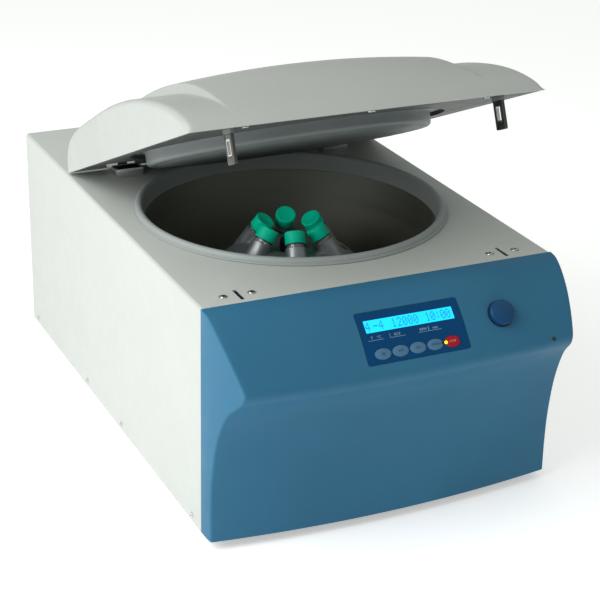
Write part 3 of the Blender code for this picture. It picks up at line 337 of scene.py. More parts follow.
# ---------------------------------------------------------------- mesh helpers
def done(work, name):
    """Close a bmesh into a mesh with outward normals."""
    bmesh.ops.remove_doubles(work, verts=work.verts, dist=1e-6)
    bmesh.ops.dissolve_degenerate(work, edges=work.edges, dist=1e-7)
    bmesh.ops.recalc_face_normals(work, faces=work.faces)
    mesh = bpy.data.meshes.new(name)
    work.to_mesh(mesh)
    work.free()
    return mesh


def linked(name, data):
    """A new object in the scene."""
    made = bpy.data.objects.new(name, data)
    bpy.context.scene.collection.objects.link(made)
    return made


def finish_mesh(mesh, finish, degrees):
    """Give the mesh its material and smooth shading with sharp creases."""
    mesh.materials.clear()
    mesh.materials.append(finish)
    mesh.shade_smooth()
    mesh.set_sharp_from_angle(angle=math.radians(degrees))


def piece(name, mesh, finish, body, replaces=(), degrees=38, matrix=None):
    """Link a mesh as a visible piece that rides on a body."""
    if matrix is not None:
        mesh.transform(matrix)
    made = linked(name, mesh)
    finish_mesh(mesh, finish, degrees)
    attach(made, body)
    if replaces:
        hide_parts(*replaces)
    return made


def carve(target, meshes, operation="DIFFERENCE"):
    """Cut or join the meshes, and keep only the result."""
    for n, mesh in enumerate(meshes):
        step = target.modifiers.new(f"step_{n}", "BOOLEAN")
        step.operation = operation
        step.solver = "EXACT"
        step.object = linked("tool", mesh)
    settle(target)
    for tool in [o for o in bpy.context.scene.collection.objects if o.name.startswith("tool")]:
        bpy.data.objects.remove(tool, do_unlink=True)


def settle(target, degrees=38):
    """Apply the modifiers, and keep smooth shading with sharp creases."""
    bpy.context.view_layer.update()
    graph = bpy.context.evaluated_depsgraph_get()
    mesh = bpy.data.meshes.new_from_object(target.evaluated_get(graph))
    finish = target.data.materials[0]
    target.modifiers.clear()
    target.data = mesh
    finish_mesh(mesh, finish, degrees)


def soften(target, width, segments=3, degrees=38):
    """Round the sharp edges."""
    step = target.modifiers.new("rounding", "BEVEL")
    step.width = width
    step.segments = segments
    step.limit_method = "ANGLE"
    step.angle_limit = math.radians(degrees)
    step.harden_normals = False
    settle(target, degrees)


def box_mesh(low, high):
    low, high = Vector(low), Vector(high)
    work = bmesh.new()
    size = Matrix.Diagonal((*(high - low), 1.0))
    bmesh.ops.create_cube(work, size=1.0, matrix=Matrix.Translation((low + high) / 2) @ size)
    return done(work, "box")


def turned_mesh(outline, segments=ROUND):
    """Turn a closed (radius, height) outline about local Z."""
    work = bmesh.new()
    verts = [work.verts.new((r, 0, z)) for r, z in outline]
    edges = [work.edges.new((a, b)) for a, b in zip(verts, verts[1:] + verts[:1])]
    bmesh.ops.spin(
        work, geom=verts + edges, axis=(0, 0, 1), cent=(0, 0, 0), steps=segments, angle=math.tau,
        use_merge=True,
    )
    return done(work, "turned")


def cylinder_mesh(radius, low, high, segments=ROUND):
    return turned_mesh([(0.0, low), (radius, low), (radius, high), (0.0, high)], segments)


def prism_mesh(outline, low, high, axis="Z"):
    """Extrude a closed flat outline from low to high along the named axis."""
    work = bmesh.new()
    face = work.faces.new([work.verts.new((a, b, low)) for a, b in outline])
    grown = bmesh.ops.extrude_face_region(work, geom=[face])["geom"]
    lifted = [g for g in grown if isinstance(g, bmesh.types.BMVert)]
    bmesh.ops.translate(work, verts=lifted, vec=(0, 0, high - low))
    if axis == "X":
        turn = Matrix(((0, 0, 1, 0), (1, 0, 0, 0), (0, 1, 0, 0), (0, 0, 0, 1)))
        bmesh.ops.transform(work, matrix=turn, verts=work.verts)
    return done(work, "prism")


def joined(meshes):
    work = bmesh.new()
    for mesh in meshes:
        work.from_mesh(mesh)
    made = bpy.data.meshes.new("joined")
    work.to_mesh(made)
    work.free()
    return made


def rounded_rectangle(width, height, radius, steps=6):
    points = []
    for sx, sy, start in [(1, 1, 0), (-1, 1, 90), (-1, -1, 180), (1, -1, 270)]:
        cx, cy = sx * (width / 2 - radius), sy * (height / 2 - radius)
        for n in range(steps + 1):
            a = math.radians(start + 90 * n / steps)
            points.append((cx + radius * math.cos(a), cy + radius * math.sin(a)))
    return points


def ellipse(width, height, steps=48):
    turn = [math.tau * n / steps for n in range(steps)]
    return [(width / 2 * math.cos(a), height / 2 * math.sin(a)) for a in turn]


def arc(centre, radius, start, end, steps):
    turn = np.radians(np.linspace(start, end, steps + 1))
    return [(centre[0] + radius * math.cos(a), centre[1] + radius * math.sin(a)) for a in turn]


def spline(points, steps):
    """A smooth curve through the points, with the given steps between each two."""
    p = [np.array(q, float) for q in points]
    p = [2 * p[0] - p[1], *p, 2 * p[-1] - p[-2]]
    made = []
    for a, b, c, d in zip(p, p[1:], p[2:], p[3:]):
        first, middle, last = (math.sqrt(np.linalg.norm(v - u)) for u, v in ((a, b), (b, c), (c, d)))
        start = (b - a) / first - (c - a) / (first + middle) + (c - b) / middle
        end = (c - b) / middle - (d - b) / (middle + last) + (d - c) / last
        start, end = start * middle, end * middle
        for n in range(steps):
            t = n / steps
            made.append(tuple(
                b * (2 * t**3 - 3 * t**2 + 1)
                + start * (t**3 - 2 * t**2 + t)
                + c * (3 * t**2 - 2 * t**3)
                + end * (t**3 - t**2)
            ))
    return [*made, tuple(p[-2])]


def ease(t):
    t = min(max(t, 0.0), 1.0)
    return t * t * (3 - 2 * t)


def axis_at(z):
    return Matrix.Translation((0, ROTOR_Y, z))


# ---------------------------------------------------------------- screws
def screw_mesh(radius, height, socket):
    """A pan-head screw on local Z = 0: a domed head with a cross or hexagon recess."""
    outline = [
        (0.0, -0.0004),
        (radius, -0.0004),
        (radius, height * 0.25),
        *arc((radius - height * 0.75, height * 0.25), height * 0.75, 10, 80, 5),
        (0.0, height * 1.04),
    ]
    head = linked("screw_head", turned_mesh(outline, 40))
    head.data.materials.append(STAINLESS)
    if socket == "cross":
        bars = [(radius * 1.1, radius * 0.26), (radius * 0.26, radius * 1.1)]
        tools = [box_mesh((-a / 2, -b / 2, height * 0.35), (a / 2, b / 2, height * 2)) for a, b in bars]
    else:
        work = bmesh.new()
        bmesh.ops.create_cone(
            work, cap_ends=True, segments=6, radius1=radius * 0.42, radius2=radius * 0.42, depth=height * 2,
            matrix=Matrix.Translation((0, 0, height * 1.25)),
        )
        tools = [done(work, "socket")]
    carve(head, tools)
    mesh = head.data
    bpy.data.objects.remove(head, do_unlink=True)
    return mesh


def screws(name, spots, radius, height, body, socket="cross"):
    """One piece with a screw at every matrix."""
    head = screw_mesh(radius, height, socket)
    copies = []
    for spot in spots:
        copy = head.copy()
        copy.transform(spot)
        copies.append(copy)
    return piece(name, joined(copies), STAINLESS, body, degrees=30)


# ---------------------------------------------------------------- case
def make_case():
    """The folded sheet: rounded top folds, the chamber's mouth and the latch slots."""
    fold, sheet = 0.004, 0.0015
    right = arc((WIDTH / 2 - fold, TOP_Z - fold), fold, 0, 90, 8)
    inner = arc((WIDTH / 2 - fold, TOP_Z - fold), fold - sheet, 0, 90, 8)
    outer = [(WIDTH / 2, FLOOR_Z), *right, *[(-x, z) for x, z in right[::-1]], (-WIDTH / 2, FLOOR_Z)]
    lining = [
        (-WIDTH / 2 + sheet, FLOOR_Z),
        *[(-x, z) for x, z in inner],
        *inner[::-1],
        (WIDTH / 2 - sheet, FLOOR_Z),
    ]
    work = bmesh.new()
    face = work.faces.new([work.verts.new((x, FRONT_Y, z)) for x, z in outer + lining])
    grown = bmesh.ops.extrude_face_region(work, geom=[face])["geom"]
    lifted = [g for g in grown if isinstance(g, bmesh.types.BMVert)]
    bmesh.ops.translate(work, verts=lifted, vec=(0, BACK_Y - FRONT_Y, 0))
    case = piece("case_sheet", done(work, "case"), PAINT, "case", ["housing"], 30)
    mouth = cylinder_mesh(MOUTH_RADIUS, -0.02, 0.02)
    mouth.transform(axis_at(TOP_Z))
    tools, spots = [mouth], []
    for _, x in SIDES:
        slot = prism_mesh(rounded_rectangle(SLOT_WIDTH, SLOT_LENGTH, 0.0008), -0.01, 0.01)
        slot.transform(Matrix.Translation((x * LATCH_X, SLOT_Y, TOP_Z)))
        tools.append(slot)
        for dx in LATCH_SCREW_OFFSETS:
            seat = prism_mesh(ellipse(0.0104, 0.0104, 32), -0.0013, 0.01)
            seat.transform(Matrix.Translation((x * (LATCH_X + dx), LATCH_SCREW_Y, TOP_Z)))
            tools.append(seat)
            spots.append(Matrix.Translation((x * (LATCH_X + dx), LATCH_SCREW_Y, TOP_Z - 0.0012)))
    carve(case, tools)
    screws("latch_screws", spots, 0.0042, 0.0022, "case", "hexagon")

    spots = []
    for _, x in SIDES:
        outward = Matrix.Rotation(x * math.pi / 2, 4, "Y")
        for y in (0.026, 0.262, 0.392, 0.606):
            spots.append(Matrix.Translation((x * WIDTH / 2, FRONT_Y + y, FLOOR_Z + 0.008)) @ outward)
    screws("side_screws", spots, 0.0031, 0.0015, "case")
    outward = Matrix.Rotation(-math.pi / 2, 4, "X")
    spots = [
        Matrix.Translation((x, BACK_Y, FLOOR_Z + z)) @ outward
        for x in (-0.195, 0.0, 0.195)
        for z in (0.016, 0.250)
    ]
    screws("rear_screws", spots, 0.0031, 0.0015, "case")


# ---------------------------------------------------------------- front panel
def side_reach(forward):
    return WIDTH / 2 - SIDE_SWEEP * (forward / RIDGE_FORWARD) ** 2


def bow_at(u, height):
    """How far the panel is moved at u (-1 to 1 across) from its corner outline: (forward, up)."""
    middle = 1 - u * u
    if height > RIDGE_HEIGHT:
        share = ease((RIDGE_HEIGHT + 0.036 - height) / 0.036) * middle
        return RIDGE_BOW[0] * share, RIDGE_BOW[1] * share
    share = ease((RIDGE_HEIGHT - height) / 0.090)
    forward = RIDGE_BOW[0] + (PANEL_BOW - RIDGE_BOW[0]) * share
    return forward * middle, RIDGE_BOW[1] * (1 - share) * middle


FACE_ROWS = np.array(spline(PANEL_OUTLINE[:6], 8))


def face_point(x, drop):
    """A point on the panel's sloping face, at a distance down the slope."""
    u = x / (WIDTH / 2)
    places = np.array([np.array(row) + bow_at(u, row[1]) for row in FACE_ROWS])
    start = np.interp(FACE_SLOPE_START, places[:, 0], np.arange(len(places)))
    steps = np.linalg.norm(np.diff(places, axis=0), axis=1)
    run = np.concatenate([[0], np.cumsum(steps)])
    length = drop + np.interp(start, np.arange(len(run)), run)
    forward = np.interp(length, run, places[:, 0])
    height = np.interp(length, run, places[:, 1])
    return Vector((x, FRONT_Y - GAP - forward, FLOOR_Z + height))


def face_frame(x, drop):
    """A frame on the sloping face: local X across, local Y up the slope, local Z out."""
    step = 0.004
    up = (face_point(x, drop - step) - face_point(x, drop + step)).normalized()
    across = (face_point(x + step, drop) - face_point(x - step, drop)).normalized()
    out = across.cross(up).normalized()
    turn = Matrix((up.cross(out), up, out)).transposed().to_4x4()
    return Matrix.Translation(face_point(x, drop)) @ turn


def wrapped(mesh, x, drop):
    """Lay a flat mesh (X across, Y up the slope, Z out) onto the sloping face."""
    seen = {}
    for vert in mesh.vertices:
        key = (round(vert.co.x, 5), round(vert.co.y, 5))
        if key not in seen:
            seen[key] = face_frame(x + vert.co.x, drop - vert.co.y)
        spot = seen[key]
        vert.co = spot.translation + spot.to_3x3().col[2] * vert.co.z
    mesh.update()
    return mesh


def slab(width, height, radius, low, high, across=36, down=16):
    """A flat closed slab with rounded corners, cut into a grid so that it can bend."""
    turn = [radius * (1 - math.cos(math.radians(a))) for a in (0, 22.5, 45, 67.5, 90)]
    ys = [-height / 2 + t for t in turn]
    ys += list(np.linspace(-height / 2 + radius, height / 2 - radius, down + 1)[1:-1])
    ys += [-y for y in ys[:5][::-1]]
    work = bmesh.new()
    layers = []
    for z in (low, high):
        layer = []
        for y in ys:
            over = max(abs(y) - (height / 2 - radius), 0.0)
            half = width / 2 - radius + math.sqrt(max(radius**2 - over**2, 0.0))
            layer.append([work.verts.new((half * (2 * i / across - 1), y, z)) for i in range(across + 1)])
        layers.append(layer)
    bottom, top = layers
    last = len(ys) - 1
    for j in range(last):
        for i in range(across):
            work.faces.new((top[j][i], top[j][i + 1], top[j + 1][i + 1], top[j + 1][i]))
            work.faces.new((bottom[j][i], bottom[j + 1][i], bottom[j + 1][i + 1], bottom[j][i + 1]))
        for i in (0, across):
            work.faces.new((top[j][i], top[j + 1][i], bottom[j + 1][i], bottom[j][i]))
    for j in (0, last):
        for i in range(across):
            work.faces.new((top[j][i], bottom[j][i], bottom[j][i + 1], top[j][i + 1]))
    return done(work, "slab")


def button_spot(n):
    return KEYPAD_X + (n - 2) * BUTTON_PITCH, BUTTON_DROP


def button_holes(margin):
    """A cutter for each key, wider and higher than the key by margin."""
    holes = []
    for n in range(BUTTON_COUNT):
        hole = prism_mesh(ellipse(BUTTON_SIZE[0] + margin, BUTTON_SIZE[1] + margin), -0.02, 0.02)
        hole.transform(face_frame(*button_spot(n)))
        holes.append(hole)
    return holes


def make_panel():
    rows = spline(PANEL_OUTLINE, 8)
    columns = np.linspace(-1, 1, 57)
    work = bmesh.new()
    grid = []
    for forward, height in rows:
        forward = max(forward, 0.0)
        reach = side_reach(forward)
        radius = min(0.0030, forward * 0.45)
        flat = 1 - radius / reach
        side = []
        for share in (0.0, 0.33, 0.67):
            y = (forward - radius) * share
            side.append((side_reach(y), y, 0.0))
        for a in (0, 22.5, 45, 67.5):
            turn = math.radians(a)
            side.append((reach - radius * (1 - math.cos(turn)), forward - radius * (1 - math.sin(turn)), 0.0))
        front = []
        for u in columns * flat:
            bow = bow_at(u, height)
            edge = bow_at(flat, height)
            front.append((u * reach, forward + bow[0] - edge[0], bow[1] - edge[1]))
        ring = [(-x, y, dz) for x, y, dz in side] + front + side[::-1]
        level = FLOOR_Z + height
        grid.append([work.verts.new((x, FRONT_Y - GAP - y, level + dz)) for x, y, dz in ring])
    for upper, lower in zip(grid, grid[1:]):
        for n in range(len(upper) - 1):
            work.faces.new((upper[n], upper[n + 1], lower[n + 1], lower[n]))
    bmesh.ops.remove_doubles(work, verts=work.verts, dist=1e-6)
    bmesh.ops.dissolve_degenerate(work, edges=work.edges, dist=1e-7)
    for face in work.faces:
        face.normal_update()
    if sum(face.normal.y for face in work.faces) > 0:
        bmesh.ops.reverse_faces(work, faces=work.faces)
    mesh = bpy.data.meshes.new("panel")
    work.to_mesh(mesh)
    work.free()
    panel = piece("panel_skin", mesh, PANEL_PLASTIC, "case", ["front_panel"], 45)
    skin = panel.modifiers.new("wall", "SOLIDIFY")
    skin.thickness = PANEL_WALL - 0.0003
    skin.offset = -1
    settle(panel, 45)
    size = [side + 0.0016 for side in KEYPAD_SIZE]
    recess = wrapped(slab(*size, 0.0030, -0.0006, 0.0040), KEYPAD_X, KEYPAD_DROP)
    well = prism_mesh(ellipse(2 * KNOB_RADIUS + 0.0022, 2 * KNOB_RADIUS + 0.0022, 64), -0.0013, 0.02)
    well.transform(face_frame(KNOB_X, KNOB_DROP))
    carve(panel, [recess, *button_holes(0.001), well])
    settle(panel, 45)


def make_keypad():
    film = piece(
        "keypad_film",
        wrapped(slab(*KEYPAD_SIZE, 0.0024, -0.0005, 0.0002, 48, 20), KEYPAD_X, KEYPAD_DROP),
        KEYPAD_FILM, "case", ["keypad"],
    )
    window_x = KEYPAD_X - 0.0008
    width, height = WINDOW_SIZE
    opening = prism_mesh(rounded_rectangle(width, height, 0.0006), -0.01, 0.01)
    opening.transform(face_frame(window_x, WINDOW_DROP))
    carve(film, [opening, *button_holes(0.0006)])
    glass = slab(width - 0.0002, height - 0.0002, 0.0006, -0.0004, 0.0001, 40, 6)
    piece("display_window", wrapped(glass, window_x, WINDOW_DROP), DISPLAY_GLASS, "case",
          ["display"])
    make_digits()
    make_legends()


DOTS = {
    "0": (0x0E, 0x11, 0x13, 0x15, 0x19, 0x11, 0x0E),
    "1": (0x04, 0x0C, 0x04, 0x04, 0x04, 0x04, 0x0E),
    "2": (0x0E, 0x11, 0x01, 0x02, 0x04, 0x08, 0x1F),
    "4": (0x02, 0x06, 0x0A, 0x12, 0x1F, 0x02, 0x02),
    "-": (0x00, 0x00, 0x00, 0x1F, 0x00, 0x00, 0x00),
    ":": (0x00, 0x04, 0x04, 0x00, 0x04, 0x04, 0x00),
}


def make_digits():
    """Dot-matrix numbers: a row of characters, each five dots wide and seven high."""
    dot_x, dot_y = 0.00108, 0.00146
    half_x, half_y = 0.00047, 0.00064
    groups = [
        ("4", -0.0468, 0.0062), ("-4", -0.0375, 0.0068),
        ("12000", -0.0152, 0.0067), ("10:00", 0.0262, 0.0062),
    ]
    meshes = []
    for text, start, pitch in groups:
        for place, character in enumerate(text):
            for row, bits in enumerate(DOTS[character]):
                for column in range(5):
                    if bits >> (4 - column) & 1:
                        x = start + place * pitch + column * dot_x
                        dot = box_mesh((-half_x, -half_y, 0.00011), (half_x, half_y, 0.00018))
                        dot.transform(Matrix.Translation((x + dot_x / 2, (3 - row) * dot_y, 0)))
                        meshes.append(dot)
    piece("display_digits", wrapped(joined(meshes), 0.0, WINDOW_DROP), DISPLAY_INK, "case")


def text_mesh(words, size, depth=0.00006):
    """Plain generic lettering as a thin mesh, centred on the origin."""
    curve = bpy.data.curves.new("words", "FONT")
    curve.body = words
    curve.size = size
    curve.extrude = depth / 2
    curve.align_x = "CENTER"
    curve.align_y = "CENTER"
    curve.resolution_u = 3
    shown = linked("words", curve)
    bpy.context.view_layer.update()
    mesh = bpy.data.meshes.new_from_object(shown.evaluated_get(bpy.context.evaluated_depsgraph_get()))
    bpy.data.objects.remove(shown, do_unlink=True)
    work = bmesh.new()
    work.from_mesh(mesh)
    bmesh.ops.remove_doubles(work, verts=work.verts, dist=1e-7)
    work.to_mesh(mesh)
    work.free()
    return mesh


def make_legends():
    """Bracket lines under the display, with plain unit names."""
    line = 0.00036
    meshes = []
    brackets = ((-0.048, -0.0295, 0), (-0.0215, -0.0031, -1), (0.0131, 0.0252, 1), (0.0258, 0.0409, -1))
    for start, end, tick in brackets:
        middle, half = (start + end) / 2, (end - start) / 2
        bar = box_mesh((-half, -line / 2, 0), (half, line / 2, 0.00006))
        bar.transform(Matrix.Translation((middle, 0, 0)))
        meshes.append(bar)
        if tick:
            tall = box_mesh((-line / 2, 0, 0), (line / 2, 0.0052, 0.00006))
            tall.transform(Matrix.Translation((start if tick < 0 else end, 0, 0)))
            meshes.append(tall)
    for words, x in (("T", -0.0430), ("°C", -0.0345), ("RCF", -0.0125), ("RPM", 0.0188), ("min", 0.0335)):
        mesh = text_mesh(words, 0.0044)
        mesh.transform(Matrix.Translation((x, 0.0027, 0.00003)))
        meshes.append(mesh)
    whole = joined(meshes)
    whole.transform(Matrix.Translation((0, 0, 0.00021)))
    piece("keypad_legends", wrapped(whole, 0.0, LEGEND_DROP), LEGEND_INK, "case")


def make_buttons():
    width, height = BUTTON_SIZE
    words = ("*", "RCF", "SET", "START", "STOP")
    levels = ((0.0, -0.0030), (0.0, 0.0002), (-0.0003, 0.0006), (-0.0010, 0.0009), (-0.0045, 0.0012))
    for n in range(BUTTON_COUNT):
        stop = n == 4
        name = "button_stop" if stop else f"button_{n + 1}"
        spot = face_frame(*button_spot(n))
        work = bmesh.new()
        rings = []
        for grow, z in levels:
            points = ellipse(width + 2 * grow, height + 2 * grow)
            rings.append([work.verts.new((x, y, z)) for x, y in points])
        for lower, upper in zip(rings, rings[1:]):
            for i in range(len(lower)):
                j = (i + 1) % len(lower)
                work.faces.new((lower[i], lower[j], upper[j], upper[i]))
        work.faces.new(rings[0][::-1])
        centre = work.verts.new((0, 0, 0.00125))
        for i in range(len(rings[-1])):
            work.faces.new((rings[-1][i], rings[-1][(i + 1) % len(rings[-1])], centre))
        film = STOP_FILM if stop else KEY_FILM
        piece(f"{name}_cap", done(work, name), film, name, [name], matrix=spot)
        size = 0.0100 if words[n] == "*" else 0.0034
        mesh = text_mesh(words[n], size)
        shift = -0.0022 if words[n] == "*" else 0.0
        mesh.transform(Matrix.Translation((0, shift, 0.00128)))
        piece(f"{name}_legend", mesh, STOP_INK if stop else KEY_INK, name, matrix=spot)
    lamps = (("button_4", 0.0078, 0.0015, LAMP_DARK), ("button_stop", -0.0080, 0.0020, LAMP_LIT),
             ("button_stop", 0.0080, 0.0015, LAMP_DARK))
    for n, (body, x, radius, finish) in enumerate(lamps):
        dome = arc((0.0, -radius), radius * 1.41, 45, 90, 5)[1:]
        outline = [(0.0, -0.001), (radius, -0.001), (radius, 0.0), *dome]
        outline = [(r, max(z, -0.001)) for r, z in outline]
        base = face_frame(*button_spot(3 if body == "button_4" else 4))
        mesh = turned_mesh(outline, 28)
        mesh.transform(Matrix.Translation((x, 0, 0.0009)))
        piece(f"lamp_{n + 1}", mesh, finish, body, matrix=base)


def make_knob():
    radius = KNOB_RADIUS
    outline = [
        *arc((0.0, -0.0335), 0.0430, 90, 72.5, 8),
        *arc((radius - 0.0016, 0.0059), 0.0016, 68, 0, 5),
        (radius, 0.0012),
        (radius - 0.0008, 0.0002),
        (0.0040, 0.0002),
        (0.0040, -0.0090),
        (0.0, -0.0090),
    ]
    spot = face_frame(KNOB_X, KNOB_DROP)
    piece("knob_turned", turned_mesh(outline, 72), KNOB_PLASTIC, "knob", ["knob"],
          matrix=spot)
    floor = [(0.0045, -0.00125), (radius + 0.0009, -0.00125), (radius + 0.0009, -0.0004), (0.0045, -0.0004)]
    piece("knob_well", turned_mesh(floor, 72), BLACK_PLASTIC, "case", matrix=spot)
    # The release hole is not cut into the panel: a black disc on the face is painted shade for the hole.
    piece("release_hole_painted_shade", cylinder_mesh(0.0024, -0.002, 0.0001, 24), BLACK_PLASTIC, "case",
          matrix=face_frame(*RELEASE_HOLE))


# ---------------------------------------------------------------- chamber
def make_seal():
    """Rubber seal: a flat outer flange, a rounded crown and a deep inner wall."""
    outer = spline([(0.1905, 0.0004), (0.1905, 0.0014), (0.1894, 0.0023), (0.1882, 0.0029)], 4)
    crown = spline(
        [(0.1882, 0.0029), (0.1875, 0.0050), (0.1858, 0.0071), (0.1835, 0.0079), (0.1810, 0.0073),
         (0.1791, 0.0054), (0.1784, 0.0024), (0.1779, -0.0020), (0.1768, -0.0142)], 5
    )
    outline = [*outer[:-1], *crown, (MOUTH_RADIUS - 0.0004, -0.0142), (MOUTH_RADIUS - 0.0004, 0.0004)]
    piece("seal_ring", turned_mesh(outline, 160), SEAL_RUBBER, "case", ["bowl_seal"],
          matrix=axis_at(TOP_Z))


def make_bowl():
    """Spun bowl: a near-upright wall, a rounded corner and a flat floor with a drain collar."""
    corner, wall = 0.022, 0.0012
    floor = -BOWL_DEPTH
    across = corner * 0.85
    turn = np.radians(np.linspace(0, 90, 13))
    inner = [(BOWL_RADIUS, -0.0145)]
    inner += [(BOWL_FLOOR_RADIUS + across * math.cos(a), floor + corner * (1 - math.sin(a))) for a in turn]
    outer = [(r + wall * 0.8, z - wall * 0.6) for r, z in inner[:-1]] + [(BOWL_FLOOR_RADIUS, floor - wall)]
    flange = MOUTH_RADIUS - 0.0015
    collar = [(0.034, floor), (0.032, floor + 0.002), (0.030, floor + 0.002), (0.030, floor - wall)]
    outline = [(flange, -0.0145), *inner, *collar, *outer[::-1][:-1], (BOWL_RADIUS + wall, -0.0145 - wall),
               (flange, -0.0145 - wall)]
    piece("spun_bowl", turned_mesh(outline, 160), BOWL_STEEL, "case", ["bowl"],
          matrix=axis_at(TOP_Z))


def tube_frame(n):
    """Frame of tube n: its origin in the middle of the cap, local Z up the tube."""
    a = FIRST_TUBE_ANGLE + n * math.tau / TUBE_COUNT
    spot = (CAP_CIRCLE * math.cos(a), ROTOR_Y + CAP_CIRCLE * math.sin(a), TOP_Z - CAP_DROP)
    return Matrix.Translation(spot) @ Matrix.Rotation(a, 4, "Z") @ Matrix.Rotation(-TUBE_TILT, 4, "Y")


def make_rotor():
    """Conical rotor body with six sleeves, their bores and the lightening pockets."""
    top = spline(
        [(0.0085, -0.0600), (0.0200, -0.0560), (0.0300, -0.0480), (0.0500, -0.0480), (0.0750, -0.0620),
         (0.1000, -0.0880), (0.1060, -0.0980)], 4
    )
    outline = [*top, (0.1060, -0.1130), (0.1000, -0.1160), (0.0300, -0.1160), (0.0260, -0.1200),
               (0.0106, -0.1200), (0.0106, -0.1075), (0.0070, -0.0715)]
    rotor = piece("rotor_body", turned_mesh(outline, 96), ROTOR_ALLOY, "rotor", ["rotor"],
                  matrix=axis_at(TOP_Z))
    sleeve_top, sleeve_low = -CAP_HEIGHT / 2 - 0.005, -0.0980
    tools, sleeves = [], []
    for n in range(TUBE_COUNT):
        rim = 0.0006
        solid = [(0.0, sleeve_low), (SLEEVE_RADIUS, sleeve_low), (SLEEVE_RADIUS, sleeve_top - rim),
                 (SLEEVE_RADIUS - rim, sleeve_top), (0.0, sleeve_top)]
        sleeves.append(turned_mesh(solid, 48))
        sleeves[-1].transform(tube_frame(n))
        bore = cylinder_mesh(TUBE_RADIUS + 0.0005, -0.0945, 0.01, 48)
        bore.transform(tube_frame(n))
        tools.append(bore)
        a = FIRST_TUBE_ANGLE + (n + 0.5) * math.tau / TUBE_COUNT
        pocket = cylinder_mesh(0.0055, -0.012, 0.02, 32)
        spot = (POCKET_CIRCLE * math.cos(a), ROTOR_Y + POCKET_CIRCLE * math.sin(a), TOP_Z - 0.0575)
        pocket.transform(Matrix.Translation(spot))
        tools.append(pocket)
    carve(rotor, sleeves, "UNION")
    carve(rotor, tools)
    nut = [(0.0085, -0.0597), (0.0118, -0.0560), (0.0122, -0.0470), (0.0116, -0.0425), (0.0095, -0.0412)]
    outline = [(0.0, -0.0597), *spline(nut, 4), (0.0040, -0.0412), (0.0036, -0.0440), (0.0, -0.0440)]
    piece("rotor_knob", turned_mesh(outline, 48), BLACK_PLASTIC, "rotor", ["rotor_nut"],
          matrix=axis_at(TOP_Z))


def make_tubes():
    half = CAP_HEIGHT / 2
    bottom, wall = -0.0940, 0.0011
    level = -half - 0.012
    for n in range(TUBE_COUNT):
        spot = tube_frame(n)
        round_out = arc((0.0, bottom + TUBE_RADIUS), TUBE_RADIUS, 270, 360, 10)
        round_in = arc((0.0, bottom + TUBE_RADIUS), TUBE_RADIUS - wall, 360, 270, 10)
        lip = half - 0.0024
        outline = [*round_out, (TUBE_RADIUS, lip), (TUBE_RADIUS - wall, lip), *round_in]
        piece(f"tube_{n + 1}_wall", turned_mesh(outline, 40), CLEAR_PLASTIC, "rotor",
              [f"tube_{n + 1}"], matrix=spot)
        inside = arc((0.0, bottom + TUBE_RADIUS), TUBE_RADIUS - wall - 0.0001, 270, 360, 8)
        fill = [*inside, (TUBE_RADIUS - wall - 0.0001, level), (0.0, level)]
        piece(f"tube_{n + 1}_sample", turned_mesh(fill, 32), LIQUID, "rotor", matrix=spot)
        rim = [(TUBE_RADIUS + 0.0001, -half - 0.0012), (CAP_RADIUS - 0.0005, -half - 0.0012),
               (CAP_RADIUS - 0.0005, -half - 0.0002), (TUBE_RADIUS + 0.0001, -half - 0.0002)]
        piece(f"tube_{n + 1}_ring", turned_mesh(rim, 48), BLACK_PLASTIC, "rotor",
              matrix=spot)
        cap = [
            (0.0, half),
            (0.0, half - 0.0020),
            (TUBE_RADIUS + 0.0002, half - 0.0020),
            (TUBE_RADIUS + 0.0002, -half),
            (CAP_RADIUS - 0.0003, -half),
            (CAP_RADIUS, -half + 0.0004),
            *arc((CAP_RADIUS - 0.0011, half - 0.0011), 0.0011, 0, 90, 5),
            (CAP_RADIUS - 0.0026, half),
            (CAP_RADIUS - 0.0031, half - 0.0003),
        ]
        piece(f"tube_cap_{n + 1}_skin", turned_mesh(cap, 64), CAP_PLASTIC, f"cap_{n + 1}",
              [f"tube_cap_{n + 1}"], degrees=50, matrix=spot)


# ---------------------------------------------------------------- lid
LID_SPACE = (
    Matrix.Translation(PIVOT)
    @ Matrix.Rotation(-LID_OPEN, 4, "X")
    @ Matrix.Translation((0, PIVOT_FORWARD, -PIVOT_UP))
)


def lid_height(x, forward, cheek):
    """Height of the lid's skin: a shoulder at the cheek's height and a raised, crowned middle."""
    raised = ease((LID_STEP_X + 0.0025 - abs(x)) / 0.005)
    rear = ease((forward - LID_RISE_REAR[0]) / (LID_RISE_REAR[1] - LID_RISE_REAR[0]))
    front = 1 - ease((forward - LID_RISE_FRONT[0]) / (LID_RISE_FRONT[1] - LID_RISE_FRONT[0]))
    crown = LID_CROWN * max(1 - (x / LID_STEP_X) ** 2, 0.0)
    return cheek + (LID_RISE + crown) * raised * rear * front


def lid_rows():
    """The lid's outline as rows, with more of them where the raised middle begins."""
    fine = np.array(spline(LID_OUTLINE, 12))
    start, end = LID_RISE_REAR
    rows = [row for row in spline(LID_OUTLINE, 8) if not start <= row[0] <= end]
    rows += [(forward, np.interp(forward, fine[:, 0], fine[:, 1])) for forward in np.linspace(start, end, 12)]
    return sorted(rows)


